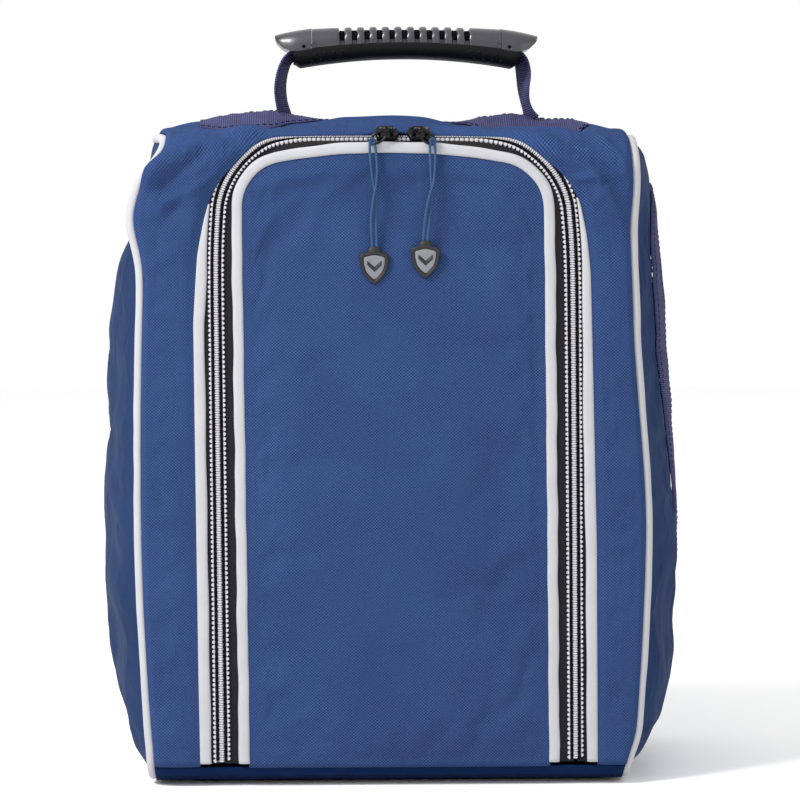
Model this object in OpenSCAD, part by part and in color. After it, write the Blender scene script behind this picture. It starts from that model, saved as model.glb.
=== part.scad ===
// Golf shoe bag: a soft upright bag with an arched zipped door, piped side panels, a moulded grip
// handle on a webbing strap, and two cord pulls. Front is -Y, the bag stands on z = 0.

/* [Body] */
// Width across the two side seams at mid-height
body_w = 248; // [240:2:256]
// Depth from front to back
body_d = 150; // [140:2:160]
// Height of the top at its crest, without the webbing and handle
body_h = 332; // [328:1:336]
// Thickness of the padded fabric walls
wall = 2; // [1.5:0.1:2.5]
// How far each side panel bulges past its seam piping
side_bulge = 20; // [12:1:24]
// Radius of the piping sewn round each side panel
piping_r = 2.5; // [2:0.1:3]

/* [Door and zip] */
// Distance between the two vertical runs of the zip, centre to centre
door_w = 172; // [166:2:176]
// Height of the zip's centre line at the top of the arch
arch_h = 321; // [318:0.5:322]
// Radius of the gentle arch along the top of the door
arch_r = 350; // [320:10:400]
// Radius of the door's two upper corners
corner_r = 36; // [30:1:44]
// Width of the white binding strips
binding_w = 5.4; // [4:0.1:5.4]

/* [Handle] */
// Sideways offset of the handle from the middle of the bag
handle_x = 7; // [0:1:10]
// Length of the handle's middle shell
shell_len = 96; // [90:2:100]
// Width of the handle from front to back
handle_d = 28; // [24:1:32]
// Width of the grip ribs' slots
slot_w = 2.3; // [1.8:0.1:2.8]

/* [Pulls] */
// Diameter of the pull cord
cord_d = 1.3; // [1:0.1:1.4]
// Thickness of the shield-shaped pull
pull_t = 3.2; // [2.8:0.1:3.6]

/* [Hidden] */
$fn = 64;

// Half-widths of the body at its base, middle and top
half_mid = body_w / 2;
half_base = half_mid - 7;
half_top = half_mid - 6;
widest_z = 150;
front_y = -body_d / 2;
back_y = body_d / 2;
// The fabric's underside stands just above the floor, on the base skin
base_z = 1.4;
foot_r = 14;
fold_z = body_h - 6;
fold_r = 3;
front_drop = 3;
back_drop = 9.2;
back_r = 24;
back_corner_z = body_h - back_drop - back_r * sin(72);
back_end_y = back_y - back_r + back_r * cos(72);
seam_gap = piping_r + 0.2;

// Zip layout, as distances outward (+) or inward (-) from the centre line of the chain
chain_gap = 1.5;
tooth_edge = 4.4;
bind_in = 7;
bind_out = bind_in + binding_w;
arch_cz = arch_h - arch_r;
corner_x = door_w / 2 - corner_r;
corner_z = arch_cz + sqrt(pow(arch_r - corner_r, 2) - pow(corner_x, 2));
seam_z = 9.6;
door_z = 12;
door_trim_z = 14;

// Vertical layout of the handle, on its own local x
grip_half = 57.5;
cap_gap = 0.2;
parting_z = body_h + 37;
shell_top_z = body_h + 46;
grip_low_z = body_h + 29.5;
strap_pivot_z = body_h + 6;
strap_t = 1.6;
strap_w = 20;
slot_count = 11;
slot_pitch = 6.35;

// Sliders sit at the top of the arch, closed on each other
slider_x_left = -5;
slider_x_right = 11;
slider_l = 11;
slider_w = 10;
bail_l = 11;
bail_w = 7;
bail_t = 1.3;
bail_y = front_y - 5.6;
bail_pivot = 0.5;

// Routes of the two pull cords, from the bail down to the pull and back up
route_left = [
    [-13.4, -80.3, 316.4], [-13.3, -80.3, 310], [-12.6, -80.1, 303], [-11.5, -79.7, 296],
    [-10.6, -79.5, 290], [-10.4, -79.6, 284], [-10.4, -79.9, 278], [-10.2, -80.2, 272],
    [-10.1, -80.3, 267], [-10.3, -80.3, 263], [-11.2, -80.3, 261.6], [-12.1, -80.3, 263],
    [-12.3, -80.3, 267], [-12.6, -80.4, 272], [-12.8, -80.7, 278], [-12.3, -81, 284],
    [-11.4, -81.1, 290], [-10.3, -80.9, 296], [-9.8, -80.5, 303], [-10.3, -80.3, 310],
    [-11, -80.3, 316.4]];
route_right = [
    [15.9, -80.3, 316.4], [15.9, -80.3, 310], [16.2, -80.1, 303], [16.7, -79.7, 296],
    [16.9, -79.5, 290], [16.2, -79.6, 284], [15.6, -79.9, 278], [15, -80.2, 273],
    [14.7, -80.3, 269], [14.5, -80.3, 266], [13.7, -80.3, 264.6], [12.9, -80.3, 266],
    [12.7, -80.3, 269], [12.9, -80.4, 273], [13.4, -80.7, 278], [14.2, -81, 284],
    [15.6, -81.1, 290], [17.4, -80.9, 296], [18.3, -80.5, 303], [18.4, -80.3, 310],
    [18.3, -80.3, 316.4]];
pull_at_left = [-11.2, -80.3, 256];
pull_at_right = [13.7, -80.3, 259];

// Half-width of the body between its side seams at height z
function half_w(z) = z < widest_z
    ? half_mid - (half_mid - half_base) * pow((widest_z - z) / widest_z, 2)
    : half_mid - (half_mid - half_top) * pow((z - widest_z) / (body_h - widest_z), 2);

// Height of the top surface at depth y
function top_z(y) = y < 0
    ? body_h - front_drop * pow(y / (front_y + fold_r), 2)
    : body_h - back_drop * pow(y / back_end_y, 2);

function arc(cy, cz, r, a0, a1, n) =
    [for (i = [0 : n]) let (a = a0 + (a1 - a0) * i / n) [cy + r * cos(a), cz + r * sin(a)]];

function between(a, b, n) = [for (i = [1 : n - 1]) a + (b - a) * i / n];

// Outline of the body from the side, [y, z], with every edge moved in by d
function side_outline(d) = let (
    front_low = [front_y + d, base_z + foot_r],
    front_high = [front_y + d, fold_z],
    back_low = [back_y - d, base_z + foot_r],
    back_high = [back_y - d, back_corner_z]
) concat(
    arc(front_y + foot_r, base_z + foot_r, foot_r - d, 270, 180, 5),
    between(front_low, front_high, 14),
    arc(front_y + fold_r + max(d - 2, 0), fold_z - max(d - 2, 0), max(fold_r - d, 1), 180, 95, 2),
    [for (i = [1 : 9]) let (y = front_y + fold_r + (back_end_y - front_y - fold_r) * i / 10)
        [y, top_z(y) - d]],
    arc(back_y - back_r, back_corner_z, back_r - d, 72, 0, 5),
    between(back_high, back_low, 12),
    arc(back_y - foot_r, base_z + foot_r, foot_r - d, 0, -90, 5),
    between([back_y - foot_r, base_z + d], [front_y + foot_r, base_z + d], 8)
);

// Outline of the body from the front, [x, z], with both sides moved in by d
function front_outline(d) = concat(
    [for (i = [0 : 12]) let (z = -1 + (body_h + 4) * i / 12) [half_w(z) - d, z]],
    [for (i = [12 : -1 : 0]) let (z = -1 + (body_h + 4) * i / 12) [d - half_w(z), z]]
);

function unit(v) = v / norm(v);

// Smooth curve through every point of a route, with one extra point in each gap
function mid_point(p, i) = let (n = len(p) - 1)
    (9 * (p[i] + p[i + 1]) - p[max(i - 1, 0)] - p[min(i + 2, n)]) / 16;
function smooth(p) = [for (i = [0 : 2 * len(p) - 2]) i % 2 == 0 ? p[i / 2] : mid_point(p, (i - 1) / 2)];

// Turns a front-view drawing into a slab between two depths
module slab(y0, y1) translate([0, y1, 0]) rotate([90, 0, 0]) linear_extrude(height = y1 - y0) children();

// Turns a side-view drawing into a bar between two x positions
module bar(x0, x1) translate([x0, 0, 0]) rotate([90, 0, 90]) linear_extrude(height = x1 - x0) children();

// Body volume between the side seams, less the room that the piping takes
module between_seams() slab(front_y - 5, back_y + 5) polygon(front_outline(seam_gap));

module wall_ring() difference() {
    polygon(side_outline(0));
    polygon(side_outline(wall));
}

// Area under the arched line that runs d outside the centre of the zip chain, above z0
module arch_area(d, z0) intersection() {
    union() {
        translate([-door_w / 2 - d, z0]) square([door_w + 2 * d, corner_z - z0]);
        for (s = [-1, 1]) translate([s * corner_x, corner_z]) circle(r = corner_r + d);
        intersection() {
            translate([0, arch_cz]) circle(r = arch_r + d, $fn = 180);
            polygon([[0, arch_cz], [corner_x, corner_z] * 1.4 - [0, arch_cz] * 0.4,
                [-corner_x, corner_z] * 1.4 - [0, arch_cz] * 0.4]);
        }
    }
    translate([-body_w, z0]) square([2 * body_w, body_h]);
}

// Arched strip between two distances from the chain, in a slab from y0 to y1, above z0
module arch_strip(d0, d1, y0, y1, z0) slab(y0, y1) intersection() {
    difference() {
        arch_area(d1, z0);
        arch_area(d0, z0 - 1);
    }
    translate([-body_w, 0]) square([2 * body_w, fold_z]);
}

// The surround on both sides of the door, folded back over the top in one piece
module front_top_panel() color("#35508a") intersection() {
    union() {
        difference() {
            bar(-body_w, body_w) intersection() {
                wall_ring();
                translate([front_y - 1, seam_z]) square([foot_r / 2, fold_z + 1 - seam_z]);
            }
            slab(front_y - 1, front_y + wall + 1) arch_area(bind_out + 0.1, 0);
        }
        bar(-body_w, body_w) intersection() {
            wall_ring();
            polygon([[front_y - 1, fold_z], [-20, fold_z], [back_end_y, back_corner_z],
                [back_end_y, body_h + 9], [front_y - 1, body_h + 9]]);
        }
    }
    between_seams();
}

module back_panel() color("#304a80") intersection() {
    bar(-body_w, body_w) intersection() {
        wall_ring();
        translate([back_end_y, base_z + foot_r]) square([40, body_h]);
    }
    between_seams();
}

module bottom_panel() color("#1c3157") intersection() {
    bar(-body_w, body_w) intersection() {
        wall_ring();
        union() {
            translate([front_y - 1, 0]) square([body_d / 2, seam_z]);
            translate([-1, 0]) square([body_d / 2 + 2, base_z + foot_r]);
        }
    }
    between_seams();
}

// Black coated skin under the base, which the bag stands on
module base_skin() color("#1a1a1c") translate([-108, -58, 0]) cube([216, 116, base_z - 0.1]);

// Stiffening board laid inside the bottom
module base_board() color("#2a2a2c") translate([-104, -59, base_z + wall + 0.1]) cube([208, 118, 2]);

// Bulging sheet that fills a side panel: s picks the side, lift moves it outward, t is its thickness
dome_steps = [1, 0.94, 0.84, 0.68, 0.48, 0.25];
rim_in = piping_r + 0.5;
dome_rim = rim_in + piping_r + 0.1;
dome_centre = [0, (body_h + base_z) / 2];
dome_half_h = (body_h - base_z) / 2 - dome_rim;
function swell(t, p, q) = pow(max(1 - pow(abs(t), p), 0), q);
// Rise of a side panel past its seam: full and low-slung below, tapering above
function rise(y, z) = let (t = (z - dome_centre[1]) / dome_half_h)
    swell(y / (body_d / 2 - dome_rim), 3, 0.8) * (t > 0 ? swell(t, 2.2, 0.9) : swell(t, 4, 0.7));
function dome_x(y, z) = half_w(z) + seam_gap + side_bulge * rise(y, z);
function dome_points(s, lift) = let (edge = side_outline(dome_rim)) concat(
    [for (r = dome_steps) for (p = edge) let (q = dome_centre + r * (p - dome_centre))
        [s * (dome_x(q[0], q[1]) + lift), q[0], q[1]]],
    [[s * (dome_x(0, dome_centre[1]) + lift), 0, dome_centre[1]]]
);
function flip(face, s) = s > 0 ? face : [for (i = [len(face) - 1 : -1 : 0]) face[i]];

module dome(s, lift, t) {
    n = len(side_outline(0));
    k = len(dome_steps);
    outer = dome_points(s, lift);
    inner = dome_points(s, lift - t);
    base = len(outer);
    ring_faces = [for (j = [0 : k - 2]) for (i = [0 : n - 1]) let (a = j * n + i, b = j * n + (i + 1) % n)
        each [[a, b, b + n], [a, b + n, a + n]]];
    hub_faces = [for (i = [0 : n - 1]) [(k - 1) * n + i, (k - 1) * n + (i + 1) % n, k * n]];
    sheet = concat(ring_faces, hub_faces);
    rim = [for (i = [0 : n - 1]) let (a = i, b = (i + 1) % n) each [[b, a, base + a], [b, base + a, base + b]]];
    under = [for (f = sheet) [f[2] + base, f[1] + base, f[0] + base]];
    polyhedron(concat(outer, inner), [for (f = concat(sheet, under, rim)) flip(f, s)]);
}

// Outline of the ventilation window, wide above and narrow below, grown by g
window_z = 188;
window_rz = 104;
function window_outline(g) = [for (i = [0 : 35]) let (
    a = i * 10,
    u = sign(cos(a)) * pow(abs(cos(a)), 0.7),
    v = sign(sin(a)) * pow(abs(sin(a)), 0.7)
) [(36 + 14 * v + g) * u - 6 * v, window_z + (window_rz + g) * v]];
window_band = 12;
module window_bar(g) bar(0, body_w) polygon(window_outline(g));

module side_panel_left() color("#2f4878") dome(-1, 0, wall);

module side_panel_right() color("#2f4878") difference() {
    dome(1, 0, wall);
    window_bar(window_band / 2 + 0.1);
}

module side_mesh_right() color("#26324f") intersection() {
    dome(1, -0.6, 0.8);
    window_bar(-window_band / 2 - 0.1);
}

module mesh_binding_right() color("#3d3870") intersection() {
    dome(1, 0.6, wall + 1);
    difference() {
        window_bar(window_band / 2);
        window_bar(-window_band / 2);
    }
}

// Round piping that follows the whole edge of a side panel
module side_piping(s) color("#e8e8ee") {
    loop = side_outline(rim_in);
    n = len(loop);
    sides = 8;
    points = [for (i = [0 : n - 1]) let (
        t = unit(loop[(i + 1) % n] - loop[(i + n - 1) % n]),
        out = [0, -t[1], t[0]],
        centre = [s * half_w(loop[i][1]), loop[i][0], loop[i][1]]
    ) for (j = [0 : sides - 1]) centre + piping_r * (cos(j * 45) * [s, 0, 0] + sin(j * 45) * out)];
    faces = [for (i = [0 : n - 1]) for (j = [0 : sides - 1]) let (
        a = i * sides + j,
        b = i * sides + (j + 1) % sides,
        c = (i + 1) % n * sides + (j + 1) % sides,
        d = (i + 1) % n * sides + j
    ) each [[a, b, c], [a, c, d]]];
    polyhedron(points, [for (f = faces) flip(f, s)]);
}

module side_piping_left() side_piping(-1);
module side_piping_right() side_piping(1);

// Tape that binds the raw edges of a side seam inside the bag
module seam_tape(s) color("#24262c") {
    x0 = s > 0 ? 104 : -112;
    bar(x0, x0 + 8) difference() {
        polygon(side_outline(wall + 0.15));
        polygon(side_outline(wall + 0.95));
    }
}

module seam_tape_left() seam_tape(-1);
module seam_tape_right() seam_tape(1);

module outer_zip_binding() color("#e8e8ee")
    arch_strip(bind_in, bind_out, front_y - 1.4, front_y + 0.4, door_z);
module zip_tape_outer() color("#2d2a2e")
    arch_strip(chain_gap, bind_out, front_y + 0.4, front_y + 1, door_z);
module zip_teeth_outer() color("#d8d8dc")
    arch_strip(chain_gap, tooth_edge, front_y - 2, front_y + 0.4, door_z);

// Webbing sewn flat along the crest of the top, which the handle strap rises from
module top_webbing() color("#46407a") {
    steps = [for (i = [0 : 8]) -13 + 26 * i / 8];
    bar(handle_x - 102, handle_x + 96) polygon(concat(
        [for (y = steps) [y, top_z(y) + 0.05]],
        [for (i = [8 : -1 : 0]) [steps[i], top_z(steps[i]) + 1.65]]));
}

module door_panel() color("#35508a") slab(front_y, front_y + wall) arch_area(-bind_out - 0.1, door_z);
module inner_zip_binding() color("#e8e8ee")
    arch_strip(-bind_out, -bind_in, front_y - 1.4, front_y + 0.4, door_trim_z);
module zip_tape_inner() color("#2d2a2e")
    arch_strip(-bind_out, -chain_gap, front_y + 0.4, front_y + 1, door_trim_z);
module zip_teeth_inner() color("#d8d8dc")
    arch_strip(-tooth_edge, -chain_gap, front_y - 2, front_y + 0.4, door_trim_z);

// Height of the chain's centre line on the top arch at x
function chain_z(x) = arch_cz + sqrt(arch_r * arch_r - x * x);

// Slider: two plates joined by a web between the rows of teeth, and a bridge that holds the bail
module slider(x, s) color("#151517") translate([x, 0, chain_z(x)]) {
    translate([-slider_l / 2, front_y - 4.2, -slider_w / 2]) cube([slider_l, 1.8, slider_w]);
    translate([-slider_l / 2, front_y + 1.4, -slider_w / 2]) cube([slider_l, 1.4, slider_w]);
    translate([-slider_l / 2 + 3, front_y - 3, -0.4]) cube([slider_l - 6, 5, 0.8]);
    for (u = [-2.2, 2.2]) translate([s * bail_pivot + u - 0.6, front_y - 7.6, -1.5]) cube([1.2, 4, 3]);
    translate([s * bail_pivot - 2.8, front_y - 8.4, -1.5]) cube([5.6, 1, 3]);
}

module slider_left() slider(slider_x_left, -1);
module slider_right() slider(slider_x_right, 1);

// Bail: a flat oval ring whose inner bar turns under the slider's bridge
module bail(x, s) color("#151517") translate([x + s * bail_pivot, bail_y, chain_z(x)]) {
    mirror([s > 0 ? 0 : 1, 0, 0]) slab(-bail_t / 2, bail_t / 2) difference() {
        union() {
            translate([-bail_t / 2, -bail_w / 2]) square([bail_l - bail_w / 2, bail_w]);
            translate([bail_l - bail_w / 2 - bail_t / 2, 0]) circle(d = bail_w);
        }
        translate([bail_t / 2, -bail_w / 2 + bail_t]) square([bail_l - bail_w / 2 - bail_t, bail_w - 2 * bail_t]);
        translate([bail_l - bail_w / 2 - bail_t / 2, 0]) circle(d = bail_w - 2 * bail_t);
    }
}

module bail_left() bail(slider_x_left, -1);
module bail_right() bail(slider_x_right, 1);

// Eight-sided tube swept along a route that stays close to the front face
module cord_tube(route) {
    path = smooth(route);
    n = len(path);
    sides = 8;
    points = [for (i = [0 : n - 1]) let (
        t = unit(path[min(i + 1, n - 1)] - path[max(i - 1, 0)]),
        across = unit(cross(t, [0, 1, 0])),
        along = cross(across, t)
    ) for (j = [0 : sides - 1]) path[i] + cord_d / 2 * (cos(j * 45) * across + sin(j * 45) * along)];
    walls = [for (i = [0 : n - 2]) for (j = [0 : sides - 1]) let (
        a = i * sides + j,
        b = i * sides + (j + 1) % sides
    ) each [[a, b, b + sides], [a, b + sides, a + sides]]];
    start = [[for (j = [sides - 1 : -1 : 0]) j]];
    end = [[for (j = [0 : sides - 1]) (n - 1) * sides + j]];
    polyhedron(points, concat(walls, start, end));
}

module pull_cord_left() color("#2f557d") cord_tube(route_left);
module pull_cord_right() color("#2f557d") cord_tube(route_right);

// Outline of the shield-shaped pull, centred on its middle
shield_low = [[6.9, 1], [5.6, -3.4], [3, -6.8], [0, -9], [-3, -6.8], [-5.6, -3.4], [-6.9, 1]];
shield = concat([[-7, 5.6], [0, 7.6], [7, 5.6]], shield_low);
shield_and_neck = concat([[-7, 5.6], [-3.6, 6.6], [-3.6, 9.4], [3.6, 9.4], [3.6, 6.6], [7, 5.6]], shield_low);

module pull_shield(at) color("#1b1b1d") translate(at) difference() {
    slab(-pull_t / 2, pull_t / 2) polygon(shield_and_neck);
    translate([-2.4, -1, 3.6]) cube([4.8, 2, 8]);
}

module pull_shield_left() pull_shield(pull_at_left);
module pull_shield_right() pull_shield(pull_at_right);

// Plain grey inlay bonded to the front of a pull
module pull_inlay(at) color("#8f9096") translate(at) slab(-pull_t / 2 - 0.6, -pull_t / 2)
    polygon(shield * 0.66);

module pull_inlay_left() pull_inlay(pull_at_left);
module pull_inlay_right() pull_inlay(pull_at_right);

// Heights along the handle, at distance u from its middle
half_shell = shell_len / 2;
function shell_top(u) = shell_top_z - 1.3 * pow(u / half_shell, 2);
function parting(u) = parting_z - 3 * pow(u / half_shell, 2);
function grip_low(u) = grip_low_z - 5.5 * pow(u / grip_half, 2);

// Rounded cross-section of the handle, [y, z]
function handle_round(i) = let (a = i * 12) [
    handle_d / 2 * sign(cos(a)) * pow(abs(cos(a)), 0.7),
    parting_z - 3 + 12.5 * sign(sin(a)) * pow(abs(sin(a)), 0.7)
];

module handle_body() bar(handle_x - 80, handle_x + 80) polygon([for (i = [0 : 29]) handle_round(i)]);

module on_handle() translate([handle_x, 0, 0]) slab(-handle_d, handle_d) children();

// Ribbed upper half of the grip, cut by a row of cross slots
module handle_shell() color("#55555c") difference() {
    intersection() {
        handle_body();
        on_handle() polygon(concat(
            [for (i = [-8 : 8]) let (u = half_shell * i / 8) [u, shell_top(u)]],
            [for (i = [8 : -1 : -8]) let (u = half_shell * i / 8) [u, parting(u) + 0.1]]));
    }
    for (i = [0 : slot_count - 1])
        translate([handle_x + (i - (slot_count - 1) / 2) * slot_pitch - slot_w / 2, -handle_d, shell_top_z - 2])
            cube([slot_w, 2 * handle_d, 10]);
}

// Soft lower half of the grip, with a channel for the strap
module handle_grip() color("#1b1b1d") difference() {
    intersection() {
        handle_body();
        on_handle() polygon(concat(
            [for (i = [-8 : 8]) let (u = half_shell * i / 8) [u, parting(u) - 0.1]],
            [[grip_half, parting_z - 4.6]],
            [for (i = [8 : -1 : -8]) let (u = grip_half * i / 8) [u, grip_low(u)]],
            [[-grip_half, parting_z - 4.6]]));
    }
    translate([handle_x, 0, 0]) slab(-strap_w / 2 - 0.5, strap_w / 2 + 0.5) polygon(concat(
        [[-grip_half - 1, parting_z - 4]],
        [for (i = [-8 : 8]) let (u = half_shell * i / 8) [u, parting(u) + 1]],
        [[grip_half + 1, parting_z - 4], [grip_half + 1, parting_z - 7.4]],
        [for (i = [8 : -1 : -8]) let (u = half_shell * i / 8) [u, parting(u) - 2.6]],
        [[-grip_half - 1, parting_z - 7.4]]));
}

pin_u = half_shell + 4;
pin_z = parting_z - 0.6;
pin_r = 1.25;

// Hooked end cap of the grip: s picks the end
module handle_cap(s) color("#5b5b62") difference() {
    intersection() {
        handle_body();
        on_handle() mirror([s > 0 ? 0 : 1, 0]) polygon([
            [half_shell + cap_gap, shell_top(half_shell)], [half_shell + 8, shell_top_z - 2.4],
            [half_shell + 15, shell_top_z - 3.8], [half_shell + 19, shell_top_z - 5],
            [half_shell + 18, parting_z + 1.6], [half_shell + 14.5, parting_z - 1.4],
            [half_shell + 10, parting_z - 3], [half_shell + cap_gap, parting_z - 2.9]]);
    }
    translate([handle_x + s * pin_u, 0, pin_z]) rotate([90, 0, 0])
        cylinder(r = pin_r + 0.05, h = 2 * handle_d, center = true);
}

module handle_cap_left() handle_cap(-1);
module handle_cap_right() handle_cap(1);

// Two cross pins that lock the end caps
module handle_pins() color("#2b2b2e") for (s = [-1, 1])
    translate([handle_x + s * pin_u, 0, pin_z]) rotate([90, 0, 0])
        cylinder(r = pin_r, h = handle_d - 3, center = true);

// Webbing strap: up from the bag, through the grip and down again, seen from the front
strap_side = [[-grip_half, parting_z - 5.4], [-62, parting_z - 9], [-64, parting_z - 16],
    [-63.4, parting_z - 24], [-62.8, strap_pivot_z - 3]];
function strap_mirror(p) = [for (i = [len(p) - 1 : -1 : 0]) [-p[i][0], p[i][1]]];
strap_line = concat(
    [for (i = [len(strap_side) - 1 : -1 : 0]) strap_side[i]],
    [for (i = [-8 : 8]) let (u = half_shell * i / 8) [u, parting(u) - 1.3]],
    [for (p = strap_side) [-p[0], p[1]]]
);
module handle_strap() color("#46407a") intersection() {
    on_handle() {
        n = len(strap_line);
        side = [for (i = [0 : n - 1])
            let (t = unit(strap_line[min(i + 1, n - 1)] - strap_line[max(i - 1, 0)])) [-t[1], t[0]]];
        polygon(concat(
            [for (i = [0 : n - 1]) strap_line[i] + side[i] * strap_t / 2],
            [for (i = [n - 1 : -1 : 0]) strap_line[i] - side[i] * strap_t / 2]));
    }
    bar(-body_w, body_w) union() {
        translate([0, strap_pivot_z]) circle(r = 3);
        polygon([[-3, strap_pivot_z], [3, strap_pivot_z], [strap_w / 2, strap_pivot_z + 22],
            [strap_w / 2, body_h + 60], [-strap_w / 2, body_h + 60], [-strap_w / 2, strap_pivot_z + 22]]);
    }
}

front_top_panel();
back_panel();
bottom_panel();
base_skin();
base_board();
side_panel_left();
side_panel_right();
side_mesh_right();
mesh_binding_right();
side_piping_left();
side_piping_right();
seam_tape_left();
seam_tape_right();
outer_zip_binding();
zip_tape_outer();
zip_teeth_outer();
top_webbing();
door_panel();
inner_zip_binding();
zip_tape_inner();
zip_teeth_inner();
slider_left();
slider_right();
bail_left();
bail_right();
pull_cord_left();
pull_cord_right();
pull_shield_left();
pull_shield_right();
pull_inlay_left();
pull_inlay_right();
handle_shell();
handle_grip();
handle_cap_left();
handle_cap_right();
handle_pins();
handle_strap();
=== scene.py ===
"""Golf shoe bag: fabric shell, zips, piping, pulls and handle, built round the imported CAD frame.

Shapes are worked out in millimetres in the CAD frame (front is -Y, +Z up), and mesh_object() turns them
into metres.
"""
import math
import bmesh
import bpy
import numpy as np
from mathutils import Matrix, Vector


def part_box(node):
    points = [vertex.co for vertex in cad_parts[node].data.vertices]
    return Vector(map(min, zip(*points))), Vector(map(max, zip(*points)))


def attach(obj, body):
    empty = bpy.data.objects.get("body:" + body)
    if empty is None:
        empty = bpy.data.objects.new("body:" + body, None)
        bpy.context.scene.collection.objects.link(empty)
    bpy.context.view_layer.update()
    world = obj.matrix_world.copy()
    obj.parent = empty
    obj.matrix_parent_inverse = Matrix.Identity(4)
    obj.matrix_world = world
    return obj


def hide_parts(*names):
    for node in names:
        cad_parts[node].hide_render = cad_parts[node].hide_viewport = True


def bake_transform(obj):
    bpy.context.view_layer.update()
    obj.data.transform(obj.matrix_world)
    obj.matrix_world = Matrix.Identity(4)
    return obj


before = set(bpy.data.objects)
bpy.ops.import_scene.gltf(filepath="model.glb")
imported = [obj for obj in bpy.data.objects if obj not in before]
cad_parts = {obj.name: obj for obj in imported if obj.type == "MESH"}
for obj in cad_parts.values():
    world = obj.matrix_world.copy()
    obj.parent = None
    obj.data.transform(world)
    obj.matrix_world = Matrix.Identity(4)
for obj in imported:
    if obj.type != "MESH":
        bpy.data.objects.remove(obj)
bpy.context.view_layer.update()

MM = 0.001


# ---------------------------------------------------------------- sizes taken from the frame
def box_mm(node):
    """Lowest and highest corner of a CAD node, in millimetres."""
    low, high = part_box(node)
    return np.array(low) / MM, np.array(high) / MM


PIPING_R = 2.5
HALF_MID = box_mm("side_piping_right")[1][0] - PIPING_R     # half-width between the side seams at mid-height
HALF_BASE = HALF_MID - 7
HALF_TOP = HALF_MID - 6
WIDEST_Z = 150.0
FRONT_Y = box_mm("front_top_panel")[0][1]
BACK_Y = box_mm("back_panel")[1][1]
SEAM_Z = box_mm("front_top_panel")[0][2]    # the seam between front and bottom
BODY_H = box_mm("front_top_panel")[1][2]
BASE_Z = box_mm("bottom_panel")[0][2]
CHAIN_GAP = 1.5
DOOR_HALF = box_mm("zip_teeth_inner")[1][0] + CHAIN_GAP
ARCH_H = box_mm("zip_teeth_inner")[1][2] + CHAIN_GAP
ARCH_R = 350.0
CORNER_R = 36.0
BIND_IN = 7.0
BIND_OUT = 12.4
BACK_CORNER_R = 24.0
BACK_TURN = math.radians(72)                # how far the top has turned down where it meets the back
BACK_DROP = 9.2
FOOT_R = 14.0
HANDLE_X = sum(corner[0] for corner in box_mm("handle_grip")) / 2


# ---------------------------------------------------------------- small helpers
def smoothstep(a, b, x):
    """Rises smoothly from 0 at a to 1 at b."""
    t = np.clip((np.asarray(x, float) - a) / (b - a), 0, 1)
    return t * t * (3 - 2 * t)


def unit(v):
    """Vectors of length 1 along v."""
    return v / np.maximum(np.linalg.norm(v, axis=-1, keepdims=True), 1e-9)


def signed_power(v, power):
    """v to a power with its sign kept, which squares up a circle's sine and cosine."""
    return np.sign(v) * np.abs(v) ** power


def hump(x, centre, width):
    """A soft bump, 1 high at the centre."""
    return np.exp(-((np.asarray(x, float) - centre) / width) ** 2)


def hermite(t, a, b, slope_a, slope_b):
    """Runs from a to b with the given slopes at its ends."""
    return ((2 * t**3 - 3 * t**2 + 1) * a + (t**3 - 2 * t**2 + t) * slope_a
            + (3 * t**2 - 2 * t**3) * b + (t**3 - t**2) * slope_b)


def full_turn(n):
    """n angles round a full circle."""
    return np.linspace(0, 2 * math.pi, n, endpoint=False)


def distances(path):
    """How far along a path each of its points lies."""
    return np.concatenate([[0], np.cumsum(np.linalg.norm(np.diff(path, axis=0), axis=1))])


def sampled(path, at, s):
    """Points of a path at the places `at`, given the distances s of its own points."""
    return np.stack([np.interp(at, s, path[:, k]) for k in range(path.shape[1])], 1)


def mesh_object(name, verts, faces, uv=None, smooth=True, material=None):
    """A mesh from points in millimetres. uv holds one pair per point, in metres of cloth."""
    me = bpy.data.meshes.new(name)
    me.from_pydata((np.asarray(verts, float) * MM).tolist(), [], [list(map(int, f)) for f in faces])
    if uv is not None:
        layer = me.uv_layers.new(name="weave")
        index = np.zeros(len(me.loops), np.int32)
        me.loops.foreach_get("vertex_index", index)
        layer.data.foreach_set("uv", carried_round(me, np.asarray(uv, np.float32)[index]).ravel())
    if smooth:
        me.shade_smooth()
    me.update()
    obj = bpy.data.objects.new(name, me)
    bpy.context.scene.collection.objects.link(obj)
    for m in [material] if not isinstance(material, (list, tuple)) else material:
        if m is not None:
            me.materials.append(m)
    return obj


def carried_round(me, uv):
    """Where a closed piece joins up with its start, its weave runs on instead of running back."""
    starts = np.zeros(len(me.polygons), np.int32)
    me.polygons.foreach_get("loop_start", starts)
    sizes = np.diff(np.append(starts, len(uv)))
    for k in (0, 1):
        low, high = np.minimum.reduceat(uv[:, k], starts), np.maximum.reduceat(uv[:, k], starts)
        whole = np.ptp(uv[:, k])
        torn = np.repeat((high - low > 0.6 * whole) & (sizes == 4), sizes)
        uv[:, k] += np.where(torn & (uv[:, k] < np.repeat(low, sizes) + 0.5 * whole), whole, 0)
    return uv


def grid_faces(n, m, wrap_n=False, wrap_m=False, flip=False):
    """Quads between neighbouring points of an n by m grid."""
    i, j = np.meshgrid(np.arange(n if wrap_n else n - 1), np.arange(m if wrap_m else m - 1), indexing="ij")
    i, j = i.ravel(), j.ravel()
    i2, j2 = (i + 1) % n, (j + 1) % m
    quads = np.stack([i * m + j, i2 * m + j, i2 * m + j2, i * m + j2], 1)
    return quads[:, ::-1] if flip else quads


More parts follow.
